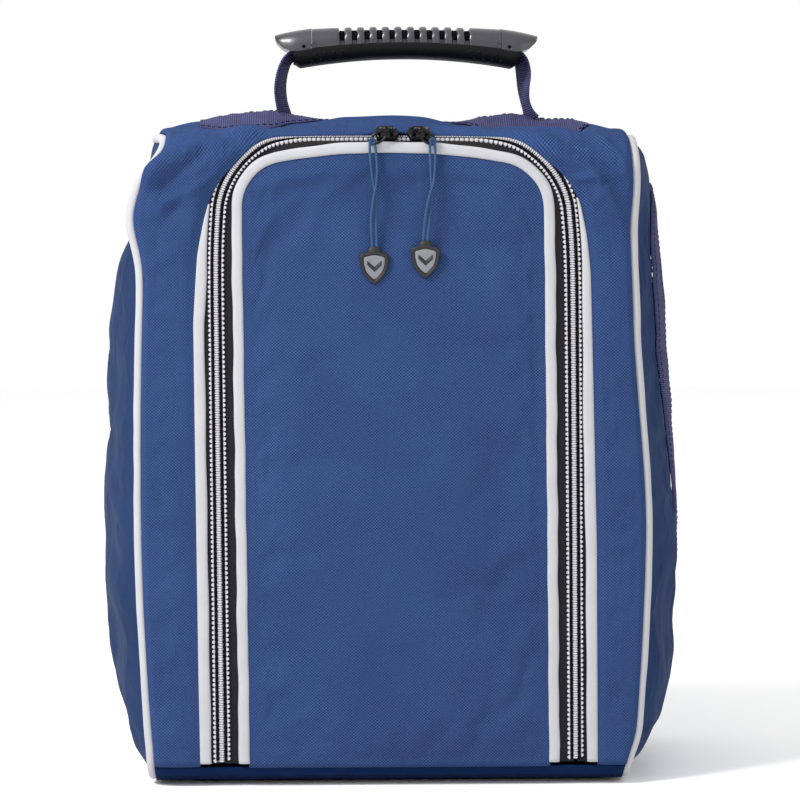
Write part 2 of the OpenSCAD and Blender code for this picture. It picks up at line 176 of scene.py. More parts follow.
def grid_object(name, points, uv=None, wrap_n=False, wrap_m=False, flip=False, material=None):
    """A sheet through an n by m grid of points."""
    n, m = points.shape[:2]
    if uv is None:
        along, across = distances(points[:, m // 2]), distances(points[n // 2])
        uv = np.stack(np.meshgrid(along, across, indexing="ij"), -1) * MM
    return mesh_object(name, points.reshape(-1, 3), grid_faces(n, m, wrap_n, wrap_m, flip),
                       uv.reshape(-1, 2), material=material)


def modifier(obj, kind, **settings):
    mod = obj.modifiers.new(kind.title(), kind)
    for key, value in settings.items():
        setattr(mod, key, value)
    return mod


def thicken(obj, mm, offset=-1.0, inner=0):
    """Gives a sheet its thickness; inner is how many slots further on the lining's material is."""
    return modifier(obj, "SOLIDIFY", thickness=mm * MM, offset=offset, use_even_offset=False,
                    material_offset=inner, material_offset_rim=0)


def place(obj, body, slot, *nodes):
    """Rides a finished piece on a body and hides the CAD nodes it stands for; slot is not used."""
    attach(obj, body)
    if nodes:
        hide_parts(*nodes)
    return obj


def place_small(obj, body, slot, *nodes):
    """Places a small piece after giving it a plain front-view weave map, so that every piece carries one."""
    me = obj.data
    layer = me.uv_layers.get("weave") or me.uv_layers.new(name="weave")
    index = np.zeros(len(me.loops), np.int32)
    me.loops.foreach_get("vertex_index", index)
    co = np.zeros(len(me.vertices) * 3, np.float32)
    me.vertices.foreach_get("co", co)
    layer.data.foreach_set("uv", co.reshape(-1, 3)[index][:, [0, 2]].ravel())
    return place(obj, body, slot, *nodes)


def sew_to_door(obj, node):
    """Hides the CAD node of a piece of the door, which stays sewn to the bag along the bottom seam, and bakes
    the piece's transform into its mesh.
    """
    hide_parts(node)
    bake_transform(obj)


def closed_up(obj, *rings):
    """Closes each ring of point numbers with one face, and turns every face outward."""
    bm = bmesh.new()
    bm.from_mesh(obj.data)
    bm.verts.ensure_lookup_table()
    for ring in rings:
        bm.faces.new([bm.verts[i] for i in ring])
    bmesh.ops.recalc_face_normals(bm, faces=bm.faces)
    bm.to_mesh(obj.data)
    bm.free()
    return obj


def end_rings(n, m):
    """First and last ring of a swept section of n rings with m points each."""
    return range(m), range(n * m - 1, (n - 1) * m - 1, -1)


def stack_faces(count, n, first=0, capped=True):
    """Walls between count rings of n points that start at point number first, and a face on both ends."""
    last = first + (count - 1) * n
    walls = [[low + i, low + (i + 1) % n, low + n + (i + 1) % n, low + n + i]
             for low in range(first, last, n) for i in range(n)]
    return walls + ([list(range(first, first + n))[::-1], list(range(last, last + n))] if capped else [])


def arc(cx, cy, r, from_degrees, to_degrees, n):
    """n points along an arc round (cx, cy)."""
    return [(cx + r * math.cos(a), cy + r * math.sin(a))
            for a in np.radians(np.linspace(from_degrees, to_degrees, n))]


# ---------------------------------------------------------------- materials
class Shader:
    """A Principled material and short calls that add nodes to it."""

    def __init__(self, name, color, rough=0.7, **sockets):
        self.mat = bpy.data.materials.new(name)
        self.mat.use_nodes = True
        self.tree = self.mat.node_tree
        self.bsdf = self.tree.nodes["Principled BSDF"]
        self.bsdf.inputs["Base Color"].default_value = (*color, 1)
        self.bsdf.inputs["Roughness"].default_value = rough
        for key, value in sockets.items():
            self.bsdf.inputs[key.replace("_", " ")].default_value = value
        self.color = color

    def node(self, kind, inputs=(), **settings):
        n = self.tree.nodes.new(kind)
        for key, value in settings.items():
            setattr(n, key, value)
        for key, value in dict(inputs).items():
            if isinstance(value, bpy.types.NodeSocket):
                self.tree.links.new(value, n.inputs[key])
            else:
                n.inputs[key].default_value = value
        return n

    def math(self, op, a, b=0.0):
        return self.node("ShaderNodeMath", {0: a, 1: b}, operation=op).outputs[0]

    def uv(self):
        return self.node("ShaderNodeUVMap", uv_map="weave").outputs[0]

    def obj(self):
        return self.node("ShaderNodeTexCoord").outputs["Object"]

    def turned(self, vector, angle=0.0, scale=(1, 1, 1)):
        return self.node("ShaderNodeMapping", {"Vector": vector, "Rotation": (0, 0, math.radians(angle)),
                                               "Scale": scale}).outputs[0]

    def waves(self, vector, period_mm, angle=0.0, distort=0.0):
        """Bands of one thread, period_mm apart, running across the turned vector."""
        turned = self.turned(vector, angle)
        # a wave texture's band repeats every 2 pi / 20 units at scale 1
        scale = 2 * math.pi / 20 / (period_mm * MM)
        return self.node("ShaderNodeTexWave", {"Vector": turned, "Scale": scale, "Distortion": distort,
                                               "Detail": 1.0, "Detail Scale": 1.0}).outputs["Fac"]

    def noise(self, vector, size_mm, detail=2.0, rough=0.5):
        return self.node("ShaderNodeTexNoise", {"Vector": vector, "Scale": 1 / (size_mm * MM),
                                                "Detail": detail, "Roughness": rough}).outputs["Fac"]

    def ramp(self, value, low, high, out_low, out_high):
        return self.node("ShaderNodeMapRange", {"Value": value, "From Min": low, "From Max": high,
                                                "To Min": out_low, "To Max": out_high}).outputs[0]

    def shade(self, factor):
        """Base colour times a factor that varies over the surface."""
        mix = self.node("ShaderNodeMix", data_type="RGBA", blend_type="MULTIPLY")
        mix.inputs[0].default_value = 1.0
        mix.inputs[6].default_value = (*self.color, 1)
        gray = self.node("ShaderNodeCombineColor", {0: factor, 1: factor, 2: factor}).outputs[0]
        self.tree.links.new(gray, mix.inputs[7])
        self.tree.links.new(mix.outputs[2], self.bsdf.inputs["Base Color"])

    def bump(self, height, depth_mm, strength=1.0):
        n = self.node("ShaderNodeBump", {"Height": height, "Strength": strength, "Distance": depth_mm * MM})
        self.tree.links.new(n.outputs[0], self.bsdf.inputs["Normal"])

    def rough(self, value):
        self.tree.links.new(value, self.bsdf.inputs["Roughness"])


LAMPS_AND_ROOM = 2.0        # how much brighter than its own colour a sheet facing the camera comes out


def srgb(r, g, b):
    """Linear base colour that this light shows as an 8-bit display colour."""
    linear = (((c / 255 + 0.055) / 1.055) ** 2.4 if c > 10 else c / 255 / 12.92 for c in (r, g, b))
    return tuple(c / LAMPS_AND_ROOM for c in linear)


def woven(name, color, period=1.1, slant=48, depth=0.2, contrast=0.7, rough=0.82):
    """Cloth of two yarns crossing on the slant, its knots stronger in places, with soft changes of tone."""
    s = Shader(name, color, rough, Specular_IOR_Level=0.04)
    uv = s.uv()
    one, two = s.waves(uv, period, slant, 0.8), s.waves(uv, period, -slant, 0.8)
    weave = s.math("MULTIPLY", s.math("ADD", one, two), 0.5)
    mottle = s.ramp(s.noise(uv, 9, 3, 0.6), 0.35, 0.65, 0.35, 1.1)
    knots = s.math("MULTIPLY", s.ramp(weave, 0, 1, -contrast, contrast), mottle)
    blotch = s.ramp(s.noise(uv, 55, 3), 0.3, 0.7, 0.92, 1.08)
    fleck = s.ramp(s.noise(uv, 1.2, 1), 0.2, 0.8, 0.88, 1.12)
    s.shade(s.math("MULTIPLY", s.math("MULTIPLY", s.math("ADD", knots, 1.0), blotch), fleck))
    s.bump(weave, depth)
    s.rough(s.ramp(weave, 0, 1, min(rough + 0.08, 1), rough - 0.05))
    return s.mat


def ribbed(name, color, period=1.1, contrast=0.45, depth=0.3):
    """Webbing: cross ribs split into small knots by the long yarns."""
    s = Shader(name, color, 0.8, Specular_IOR_Level=0.15)
    uv = s.uv()
    ribs = s.waves(uv, period, 0, 0.3)
    yarns = s.waves(uv, period * 1.3, 90, 0.3)
    knots = s.math("MULTIPLY", ribs, s.ramp(yarns, 0, 1, 0.35, 1.0))
    tone = s.ramp(s.noise(uv, 8), 0.3, 0.7, 0.9, 1.1)
    s.shade(s.math("MULTIPLY", s.ramp(knots, 0, 1, 1 - contrast, 1 + contrast), tone))
    s.bump(knots, depth)
    s.rough(s.ramp(knots, 0, 1, 0.85, 0.6))
    return s.mat


def trim_white(name):
    """White covered piping and binding with a fine plain weave and a little grime."""
    s = Shader(name, srgb(236, 236, 241), 0.6, Specular_IOR_Level=0.2)
    uv = s.uv()
    weave = s.math("MULTIPLY", s.waves(uv, 0.7, 45, 0.5), s.waves(uv, 0.7, -45, 0.5))
    grime = s.ramp(s.noise(uv, 14, 3), 0.25, 0.7, 0.93, 1.0)
    s.shade(s.math("MULTIPLY", s.ramp(weave, 0, 1, 0.93, 1.0), grime))
    s.bump(weave, 0.12)
    s.rough(s.ramp(weave, 0, 1, 0.7, 0.55))
    return s.mat


def moulded(name, color, rough=0.45, grain_mm=0.5, depth=0.03, coat=0.0, contrast=0.1, specular=0.45):
    """Moulded plastic or rubber with a fine grain and worn, slightly uneven gloss."""
    s = Shader(name, color, rough, Coat_Weight=coat, Coat_Roughness=0.12, Specular_IOR_Level=specular)
    p = s.obj()
    grain = s.noise(p, grain_mm, 2)
    wear = s.noise(p, 9, 3)
    s.shade(s.ramp(wear, 0.25, 0.75, 1 - contrast, 1 + contrast))
    s.bump(grain, depth)
    gloss = s.ramp(wear, 0.3, 0.7, rough - 0.06, rough + 0.08)
    s.rough(s.math("ADD", gloss, s.ramp(grain, 0, 1, -0.03, 0.03)))
    return s.mat


def braided(name, color):
    """Fine round cord: small crossing strands over the object's own coordinates."""
    s = Shader(name, color, 0.7, Specular_IOR_Level=0.2)
    p = s.obj()
    turned = s.node("ShaderNodeMapping", {"Vector": p, "Rotation": (0, math.radians(35), 0)}).outputs[0]
    other = s.node("ShaderNodeMapping", {"Vector": p, "Rotation": (0, math.radians(-35), 0)}).outputs[0]
    weave = s.math("MULTIPLY", s.waves(turned, 0.6, 0, 0.3), s.waves(other, 0.6, 0, 0.3))
    s.shade(s.ramp(weave, 0, 1, 0.75, 1.25))
    s.bump(weave, 0.08)
    s.rough(s.ramp(weave, 0, 1, 0.75, 0.5))
    return s.mat


def lining():
    """Grey-black coated inner face of the cloth."""
    s = Shader("lining", srgb(48, 52, 66), 0.7, Specular_IOR_Level=0.15)
    uv = s.uv()
    weave = s.math("MULTIPLY", s.waves(uv, 1.0, 0, 0.4), s.waves(uv, 1.0, 90, 0.4))
    tone = s.ramp(s.noise(uv, 30, 3), 0.3, 0.7, 0.85, 1.1)
    s.shade(s.math("MULTIPLY", s.ramp(weave, 0, 1, 0.85, 1.1), tone))
    s.bump(weave, 0.1)
    s.rough(s.ramp(weave, 0, 1, 0.7, 0.5))
    return s.mat


MAIN = woven("main_fabric", srgb(60, 85, 137))
SIDE = woven("side_fabric", srgb(46, 68, 110), period=0.7, depth=0.08, contrast=0.25, rough=0.6)
BOTTOM = woven("bottom_fabric", srgb(18, 44, 88), period=1.0, depth=0.12, contrast=0.4)
LINING = lining()
WEBBING = ribbed("webbing", srgb(88, 89, 138))
TAPE = ribbed("zip_tape", srgb(38, 36, 40), period=0.8, contrast=0.25, depth=0.12)
WHITE = trim_white("white_trim")
MESH = woven("mesh_thread", srgb(40, 42, 76), period=0.5, depth=0.05)
SKIN = moulded("base_skin", srgb(18, 18, 22), 0.6, 1.2, 0.08, specular=0.2)
BOARD = moulded("base_board", srgb(40, 40, 44), 0.7, 1.5, 0.05)
TEETH = moulded("zip_teeth", srgb(238, 236, 242), 0.28, 0.4, 0.01, coat=0.2, contrast=0.05)
THREAD = woven("black_thread", srgb(20, 19, 23), period=0.4, depth=0.05)
NAVY_THREAD = woven("navy_thread", srgb(34, 38, 76), period=0.4, depth=0.05)
GLOSS_BLACK = moulded("slider_black", srgb(8, 8, 10), 0.16, 0.6, 0.01, specular=0.22)
CORD = ribbed("cord", srgb(66, 104, 150), period=0.55, contrast=0.35, depth=0.08)
CORD_ROUND = braided("cord_braid", srgb(66, 104, 150))
RUBBER = moulded("pull_rubber", srgb(44, 43, 48), 0.5, 0.35, 0.03, specular=0.3)
INLAY = moulded("pull_inlay", srgb(150, 150, 158), 0.4, 0.3, 0.02)
GRIP_GREY = moulded("grip_grey", srgb(62, 61, 68), 0.36, 0.35, 0.05, specular=0.5, coat=0.25)
GRIP_BLACK = moulded("grip_black", srgb(20, 20, 22), 0.6, 0.4, 0.06, specular=0.15)
# near-black, darker than the grip: painted shade for the slot floors and the pin holes
SLOT_SHADE_BLACK = moulded("slot_shade_black", srgb(8, 8, 10), 0.8, 0.4, 0.03, specular=0.05)
PIN = moulded("pin_head", srgb(52, 52, 58), 0.35, 0.3, 0.01)


# ---------------------------------------------------------------- camera, then light
def look_at(obj, target):
    obj.rotation_euler = (Vector(target) - obj.location).to_track_quat("-Z", "Y").to_euler()


def make_camera():
    """Almost square on to the front, a little above the middle, through a long lens."""
    azimuth, elevation, distance = math.radians(-2.0), math.radians(3.0), 1.5
    target = Vector((0.0041, 0, 0.1866))
    cam = bpy.data.objects.new("camera", bpy.data.cameras.new("camera"))
    bpy.context.scene.collection.objects.link(cam)
    cam.location = target + distance * Vector((math.cos(elevation) * math.sin(azimuth),
                                               -math.cos(elevation) * math.cos(azimuth), math.sin(elevation)))
    look_at(cam, target)
    cam.data.lens = 131.0
    cam.data.clip_start = 0.05
    bpy.context.scene.camera = cam


def make_stage():
    """A pale floor that runs back to the horizon, large soft lamps and a bright room."""
    scene = bpy.context.scene
    scene.view_settings.view_transform = "Standard"
    far = 4000
    corners = np.array([[-far, -far, 0], [far, -far, 0], [far, far, 0], [-far, far, 0]])
    floor = mesh_object("floor", corners, [[0, 1, 2, 3]], smooth=False,
                        material=Shader("floor", (0.96, 0.96, 0.96), 0.8).mat)
    world = bpy.data.worlds.new("room")
    scene.world = world
    world.use_nodes = True
    background = world.node_tree.nodes["Background"]
    background.inputs[0].default_value = (1.0, 1.0, 1.0, 1)
    background.inputs[1].default_value = 1.0
    lamps = (("key", (-1.0, -0.75, 1.35), 0.5, 34.0), ("fill", (1.3, -1.0, 0.6), 0.9, 3.0))
    for name, place_at, size, power in lamps:
        lamp = bpy.data.objects.new(name, bpy.data.lights.new(name, "AREA"))
        scene.collection.objects.link(lamp)
        lamp.data.size = size
        lamp.data.energy = power
        lamp.location = place_at
        look_at(lamp, (0, 0, 0.17))


make_camera()
make_stage()


# ---------------------------------------------------------------- pull cords, before everything else
ROUTES = {
    "left": ((-13.4, -80.3, 316.4), (-13.3, -80.3, 310), (-12.6, -80.1, 303), (-11.5, -79.7, 296),
             (-10.6, -79.5, 290), (-10.4, -79.6, 284), (-10.4, -79.9, 278), (-10.2, -80.2, 272),
             (-10.1, -80.3, 267), (-10.3, -80.3, 263), (-11.2, -80.3, 261.6), (-12.1, -80.3, 263),
             (-12.3, -80.3, 267), (-12.6, -80.4, 272), (-12.8, -80.7, 278), (-12.3, -81, 284),
             (-11.4, -81.1, 290), (-10.3, -80.9, 296), (-9.8, -80.5, 303), (-10.3, -80.3, 310),
             (-11, -80.3, 316.4)),
    "right": ((15.9, -80.3, 316.4), (15.9, -80.3, 310), (16.2, -80.1, 303), (16.7, -79.7, 296),
              (16.9, -79.5, 290), (16.2, -79.6, 284), (15.6, -79.9, 278), (15, -80.2, 273),
              (14.7, -80.3, 269), (14.5, -80.3, 266), (13.7, -80.3, 264.6), (12.9, -80.3, 266),
              (12.7, -80.3, 269), (12.9, -80.4, 273), (13.4, -80.7, 278), (14.2, -81, 284),
              (15.6, -81.1, 290), (17.4, -80.9, 296), (18.3, -80.5, 303), (18.4, -80.3, 310),
              (18.3, -80.3, 316.4))}
PULL_AT = {"left": np.array((-11.2, -80.3, 256.0)), "right": np.array((13.7, -80.3, 259.0))}
CORD_D = 1.3


def smooth_route(points):
    """The route with one extra point in each gap, as the frame's own cord has."""
    p = np.array(points, float)
    out = []
    for i in range(len(p) - 1):
        out.append(p[i])
        out.append((9 * (p[i] + p[i + 1]) - p[max(i - 1, 0)] - p[min(i + 2, len(p) - 1)]) / 16)
    out.append(p[-1])
    return np.array(out)


def tube(name, path, radius, sides=10, closed=False, material=None, up=(0, 1, 0), squash=1.0):
    """A round tube along a path in millimetres; radius may change along it."""
    path = np.asarray(path, float)
    n = len(path)
    r = np.broadcast_to(radius, (n,))
    tangent = unit(np.roll(path, -1, 0) - np.roll(path, 1, 0) if closed else np.gradient(path, axis=0))
    side = unit(np.cross(tangent, np.broadcast_to(np.asarray(up, float), path.shape)))
    lift = np.cross(side, tangent)
    a = full_turn(sides)
    ring = np.cos(a)[None, :, None] * side[:, None] + squash * np.sin(a)[None, :, None] * lift[:, None]
    verts = (path[:, None] + r[:, None, None] * ring).reshape(-1, 3)
    faces = grid_faces(n, sides, wrap_n=closed, wrap_m=True, flip=True).tolist()
    uv = np.stack(np.meshgrid(distances(path), a * r.mean(), indexing="ij"), -1).reshape(-1, 2) * MM
    if not closed:
        faces += [list(ring) for ring in end_rings(n, sides)]
    return closed_up(mesh_object(name, verts, faces, uv, material=material))


def knot(name, centre, size, body, twist):
    """A small overhand knot, wound from the cord itself."""
    t = full_turn(60)
    loop = np.stack([np.sin(t) + 2 * np.sin(2 * t), -0.9 * np.sin(3 * t),
                     np.cos(t) - 2 * np.cos(2 * t)], 1) / 3
    c, s = math.cos(twist), math.sin(twist)
    spin = np.array([[c, 0, s], [0, 1, 0], [-s, 0, c]])
    path = np.asarray(centre) + loop @ spin.T * np.array([size, size * 0.8, size])
    return place(tube(name, path, CORD_D * 0.48, 8, closed=True, material=CORD), body, "cord")


SHIELD = np.array([(-7, 5.6), (-3.6, 6.9), (0, 7.6), (3.6, 6.9), (7, 5.6), (6.9, 1), (5.6, -3.4),
                   (3, -6.8), (0, -9),
                   (-3, -6.8), (-5.6, -3.4), (-6.9, 1)], float)


def outline_curve(points, n, tight=0.5):
    """Closed smooth outline through the given corners, as n points."""
    p = np.asarray(points, float)
    k = len(p)
    t = np.linspace(0, k, n, endpoint=False)
    i = t.astype(int)
    f = (t - i)[:, None]
    a, b, c, d = (p[(i + s) % k] for s in (-1, 0, 1, 2))
    m0, m1 = tight * (c - a) / 2, tight * (d - b) / 2
    return hermite(f, b, c, m0, m1)


def stacked_plate(name, outline, layers, centre, material):
    """A plate built from rings of one outline: each layer gives a scale and a height toward the viewer."""
    verts = [(centre[0] + scale * x, centre[1] - height, centre[2] + scale * z)
             for scale, height in layers for x, z in outline]
    return closed_up(mesh_object(name, verts, stack_faces(len(layers), len(outline)), material=material))


SHIELD_LAYERS = ((0.86, -1.5), (0.97, -1.1), (1.0, -0.4), (1.0, 0.7), (0.96, 1.3), (0.88, 1.6), (0.80, 1.5),
                 (0.74, 1.0), (0.5, 1.0))
INLAY_LAYERS = ((0.72, 0.9), (0.70, 1.35), (0.66, 1.5), (0.4, 1.55))
CHEVRON = ((-3.6, 2.6), (0, -0.6), (3.6, 2.6), (3.6, 0.6), (0, -2.8), (-3.6, 0.6))
CHEVRON_LAYERS = ((1.0, 1.45), (0.96, 1.75), (0.8, 1.8))


def make_cord(name, path):
    """The round cord itself, as a curve."""
    curve = bpy.data.curves.new(name, "CURVE")
    curve.dimensions = "3D"
    curve.bevel_depth = CORD_D / 2 * MM
    curve.bevel_resolution = 3
    curve.use_fill_caps = True
    spline = curve.splines.new("POLY")
    spline.points.add(len(path) - 1)
    spline.points.foreach_set("co", np.hstack([path * MM, np.ones((len(path), 1))]).ravel())
    cord = bpy.data.objects.new(name, curve)
    bpy.context.scene.collection.objects.link(cord)
    curve.materials.append(CORD_ROUND)
    return cord


def cord_ends(side):
    """Middle of a cord's two ends, where it hangs from the bail and swings."""
    return (np.array(ROUTES[side][0]) + ROUTES[side][-1]) / 2


def make_pull(side):
    """A shield with its neck, inlay and chevron, and its cord with the hitch and knot at the bail."""
    body, at = "pull_" + side, PULL_AT[side]
    outline = outline_curve(SHIELD, 72, 0.9)
    shield = stacked_plate(f"shield_{side}", outline, SHIELD_LAYERS, at, RUBBER)
    place_small(shield, body, "pull_rubber", "pull_shield_" + side)
    neck = tube(f"pull_neck_{side}", at + np.array([(0, 0, 5.6), (0, 0, 7.4), (0, 0, 8.8), (0, 0, 9.5)]),
                np.array([3.4, 3.2, 2.6, 1.7]), 16, material=RUBBER, squash=0.42)
    place_small(neck, body, "pull_rubber")
    inlay = stacked_plate(f"inlay_{side}", outline, INLAY_LAYERS, at, INLAY)
    place_small(inlay, body, "pull_inlay", "pull_inlay_" + side)
    mark = stacked_plate(f"inlay_groove_{side}", CHEVRON, CHEVRON_LAYERS, at, RUBBER)
    place_small(mark, body, "pull_rubber")
    path = smooth_route(ROUTES[side])
    cord = place(make_cord(f"pull_cord_{side}_rope", path), body, "cord", "pull_cord_" + side)
    # hitch and knot sit where the cord swings, so they stay round the bail's outer rod in every pose
    ends, a = cord_ends(side), full_turn(40)
    hitch = ends + np.stack([1.2 * np.cos(a), -0.3 - 1.1 * np.sin(a), 1.4 * np.sin(a)], 1)
    loop = tube(f"pull_hitch_{side}", hitch, CORD_D * 0.5, 8, closed=True, material=CORD)
    knots = [knot(f"pull_knot_{side}", ends + (0, -0.3, 0), 1.5, body, 0.4), place(loop, body, "cord")]


make_pull("left")
make_pull("right")


# ---------------------------------------------------------------- the body's shape
def half_w(z):
    """Half-width between the side seams at height z."""
    z = np.asarray(z, float)
    low = HALF_MID - (HALF_MID - HALF_BASE) * (np.clip(WIDEST_Z - z, 0, None) / WIDEST_Z) ** 2
    high = HALF_MID - (HALF_MID - HALF_TOP) * (np.clip(z - WIDEST_Z, 0, None) / (BODY_H - WIDEST_Z)) ** 2
    return np.where(z < WIDEST_Z, low, high)


def seam_x(side, y, z):
    """Where a side seam runs; the stuffed corners push its front edge in and out."""
    left = -2.5 - 6.0 * hump(z, 280, 18) + 8.0 * smoothstep(294, 316, z)
    right = -5.6 * smoothstep(120, 230, z) * (1 - 0.5 * smoothstep(270, 300, z))
    right = right - 4.0 * (1 - smoothstep(5, 30, z))
    return side * half_w(z) + (left if side < 0 else right) * (1 - smoothstep(-64, -26, y))


CREST_Y = -2.0
BACK_SEAM_Y = BACK_Y - BACK_CORNER_R + BACK_CORNER_R * math.cos(BACK_TURN)


def crest_z(x):
    """Height of the top's crest, raised where the strap's legs pull and let down between them."""
    legs = 3.4 * hump(x, HANDLE_X - 63, 17) + 2.6 * hump(x, HANDLE_X + 56, 15)
    waves = 1.2 * hump(x, 3, 14) - 0.9 * hump(x, 36, 12) - 1.0 * hump(x, 82, 14)
    return BODY_H - 4.2 + legs + waves - 5.0 * smoothstep(95, 122, abs(x))


def middle(x):
    """1 where the cloth stands up in front of the webbing and hides it, fading to 0 on both sides."""
    return smoothstep(-42, -20, x) * smoothstep(42, 16, x)


def column(x):
    """Outline of the shell at x as (y, z): up the front, over the fold and back across the top."""
    u = min(abs(x) / HALF_TOP, 1.05)
    held = 1 - float(smoothstep(13, 21, abs(x - 3)))        # the sliders hold the chain up between them
    fold_z, r = BODY_H - 16.8 - 14.7 * u**2, 1.6 + 18.4 * u**2
    lean_back = math.radians(80 + 8 * max(0, 1 - u * u) - 14 * held)
    front = [(FRONT_Y, z) for z in np.arange(SEAM_Z, fold_z, 1.0)]
    fold = [(FRONT_Y + r * (1 - math.cos(a)), fold_z + r * math.sin(a))
            for a in np.linspace(0, lean_back, 24)]
    (y1, z1), top = fold[-1], crest_z(x)
    span = CREST_Y - y1
    sag = 8.0 * float(smoothstep(36, 58, x) * smoothstep(104, 92, x)) + \
        5.0 * float(smoothstep(-34, -52, x) * smoothstep(-108, -94, x))
    start = 0.17 * span * (1 - sag / 8)
    ridge = 4.2 * float(middle(x))
    rise = [(y1 + t * span, hermite(t, z1, top, start, 0.10 * span) - sag * float(hump(t, 0.66, 0.2))
             + ridge * float(hump(t, 0.68, 0.13))) for t in np.linspace(0.03, 1, 40)]
    span = BACK_SEAM_Y - CREST_Y
    low = BODY_H - BACK_DROP - 3 * u**2
    fall = [(CREST_Y + t * span, hermite(t, top, low, -0.02 * span, -0.32 * span))
            for t in np.linspace(0.03, 1, 36)]
    return np.array(front + fold + rise + fall)


def resample(path, step):
    """Points every step mm along a path, run on straight past its end."""
    s, at = distances(path), np.arange(0, TABLE_L, step)
    tail = unit(path[-1] - path[-3])
    return sampled(path, at, s) + np.clip(at - s[-1], 0, None)[:, None] * tail, s[-1]


TABLE_L = 480.0
STEP_X = 2.0
TABLE_X = np.arange(-132, 133, STEP_X)
TABLE, TOTAL_L = zip(*(resample(column(x), 1.0) for x in TABLE_X))
TABLE, TOTAL_L = np.array(TABLE), np.array(TOTAL_L)


def sheet_yz(x, length):
    """(y, z) of the cloth at x, so far along it from the bottom seam."""
    fx = np.clip((x - TABLE_X[0]) / STEP_X, 0, len(TABLE_X) - 1.001)
    fl = np.clip(length, 0, TABLE_L - 2.001)
    i, j = fx.astype(int), fl.astype(int)
    a, b = (fx - i)[..., None], (fl - j)[..., None]
    return (TABLE[i, j] * (1 - a) + TABLE[i + 1, j] * a) * (1 - b) + \
        (TABLE[i, j + 1] * (1 - a) + TABLE[i + 1, j + 1] * a) * b


def bulge(x, y, z):
    """How far the stuffed front stands forward of its plane."""
    t = np.clip((z - SEAM_Z) / (BODY_H - SEAM_Z), 0, 1)
    across = np.clip(1 - (x / HALF_MID) ** 2, 0, 1)
    full = 3.0 * np.sin(math.pi * t) ** 0.8 * across
    lip = 1.3 * hump(x, 0, 60) * smoothstep(285, 316, z)
    return (full + lip) * (1 - smoothstep(FRONT_Y + 3, FRONT_Y + 16, y))


def shell(x, length, h=0.0):
    """Point of the front and top cloth, raised h along its normal. The front leans a little to the left."""
    x, length, h = np.broadcast_arrays(*(np.asarray(v, float) for v in (x, length, h)))

    def base(x, length):
        yz = sheet_yz(x, length)
        y, z = yz[..., 0], yz[..., 1]
        lean = (2.2 - 4.9 * np.clip((z - 10) / 260, 0, 1.2)) * np.clip(1 - (x / HALF_MID) ** 2, 0, 1)
        return np.stack([x + lean, y - bulge(x, y, z), z], -1)
    across, along = base(x + 1, length) - base(x - 1, length), base(x, length + 1) - base(x, length - 1)
    return base(x, length) + h[..., None] * unit(np.cross(across, along))


def seam_l(side, length):
    """x of the side seam at a place along the cloth."""
    x = np.full(np.shape(length), side * HALF_TOP)
    for _ in range(3):
        yz = sheet_yz(x, np.asarray(length, float))
        x = seam_x(side, yz[..., 0], yz[..., 1]) - side * 1.2
    return x


def smooth_noise(a, b, seed, scale, octaves=3):
    """Soft bumps over two coordinates in millimetres, from a few seeded waves."""
    local = np.random.default_rng(seed)
    total = np.zeros(np.broadcast(a, b).shape)
    for k in range(octaves * 3):
        size = scale / (1.0 + 0.55 * k)
        angle, phase = local.uniform(0, math.pi), local.uniform(0, 2 * math.pi)
        along = a * math.cos(angle) + b * math.sin(angle)
        total += np.sin(along * 2 * math.pi / size + phase) / (1 + 0.7 * k)
    return total / 2.2


# ---------------------------------------------------------------- the arched zip
ARCH_TOP = ARCH_H + 2.4     # along the cloth the arch runs on over the fold
ARCH_CZ = ARCH_TOP - ARCH_R
CORNER_X = DOOR_HALF - CORNER_R
CORNER_CZ = ARCH_CZ + math.sqrt((ARCH_R - CORNER_R) ** 2 - CORNER_X ** 2)


def arch_table():
    """Fine points along the centre line of the zip, with outward normals: x, height, then the normal."""
    a0 = math.atan2(CORNER_CZ - ARCH_CZ, -CORNER_X)
    rows = [(-DOOR_HALF, z, -1, 0) for z in np.arange(SEAM_Z + 0.6, CORNER_CZ, 1.0)]
    for x, z, r, angles in ((-CORNER_X, CORNER_CZ, CORNER_R, np.linspace(math.pi, a0, 60)),
                            (0, ARCH_CZ, ARCH_R, np.linspace(a0, math.pi / 2, 60)[1:])):
        rows += [(x + r * math.cos(a), z + r * math.sin(a), math.cos(a), math.sin(a)) for a in angles]
    rows += [(-x, z, -nx, nz) for x, z, nx, nz in rows[-2::-1]]
    rows = np.array(rows)
    return rows, distances(rows[:, :2])


ARCH, ARCH_S = arch_table()
ARCH_LEN = ARCH_S[-1]
UPRIGHT = ARCH_S[np.argmax(ARCH[:, 0] > -DOOR_HALF + 0.01)]      # length of the straight run up each side


def arch_at(s, d):
    """(x, L) at s along the zip and d outward from it."""
    row = np.stack([np.interp(s, ARCH_S, ARCH[:, k]) for k in range(4)], -1)
    p = row[..., :2] + np.asarray(d, float)[..., None] * row[..., 2:]
    return p[..., 0], p[..., 1] - SEAM_Z


def drift(s):
    """How far the chain is pushed in toward the door round the arch's corners, where it lies on its side."""
    return 3.2 * np.maximum(hump(s, UPRIGHT + 24, 30), hump(s, ARCH_LEN - UPRIGHT - 24, 30))


def gusset_edge(s):
    """Distance from the zip to the edge of the surround, which puffs over the zip round the top."""
    left = [(0, 11.4), (UPRIGHT - 230, 11.8), (UPRIGHT - 56, 12.5), (UPRIGHT - 23, 10.4), (UPRIGHT - 5, 7.6),
            (UPRIGHT + 8, 4.8), (UPRIGHT + 24, 1.8), (UPRIGHT + 50, 1.2)]
    middle_knots = [(ARCH_LEN / 2 - 14, 1.4), (ARCH_LEN / 2, 2.8), (ARCH_LEN / 2 + 20, 1.4)]
    right = [(ARCH_LEN - UPRIGHT + past, d) for past, d in (
        (-60, 1.2), (-35, 1.2), (-24, 2.0), (-14, 4.4), (-1, 6.8), (13, 8.4), (32, 9.6), (165, 12),
        (UPRIGHT, 12.2))]
    return np.interp(s, *zip(*(left + middle_knots + right))) - drift(s)


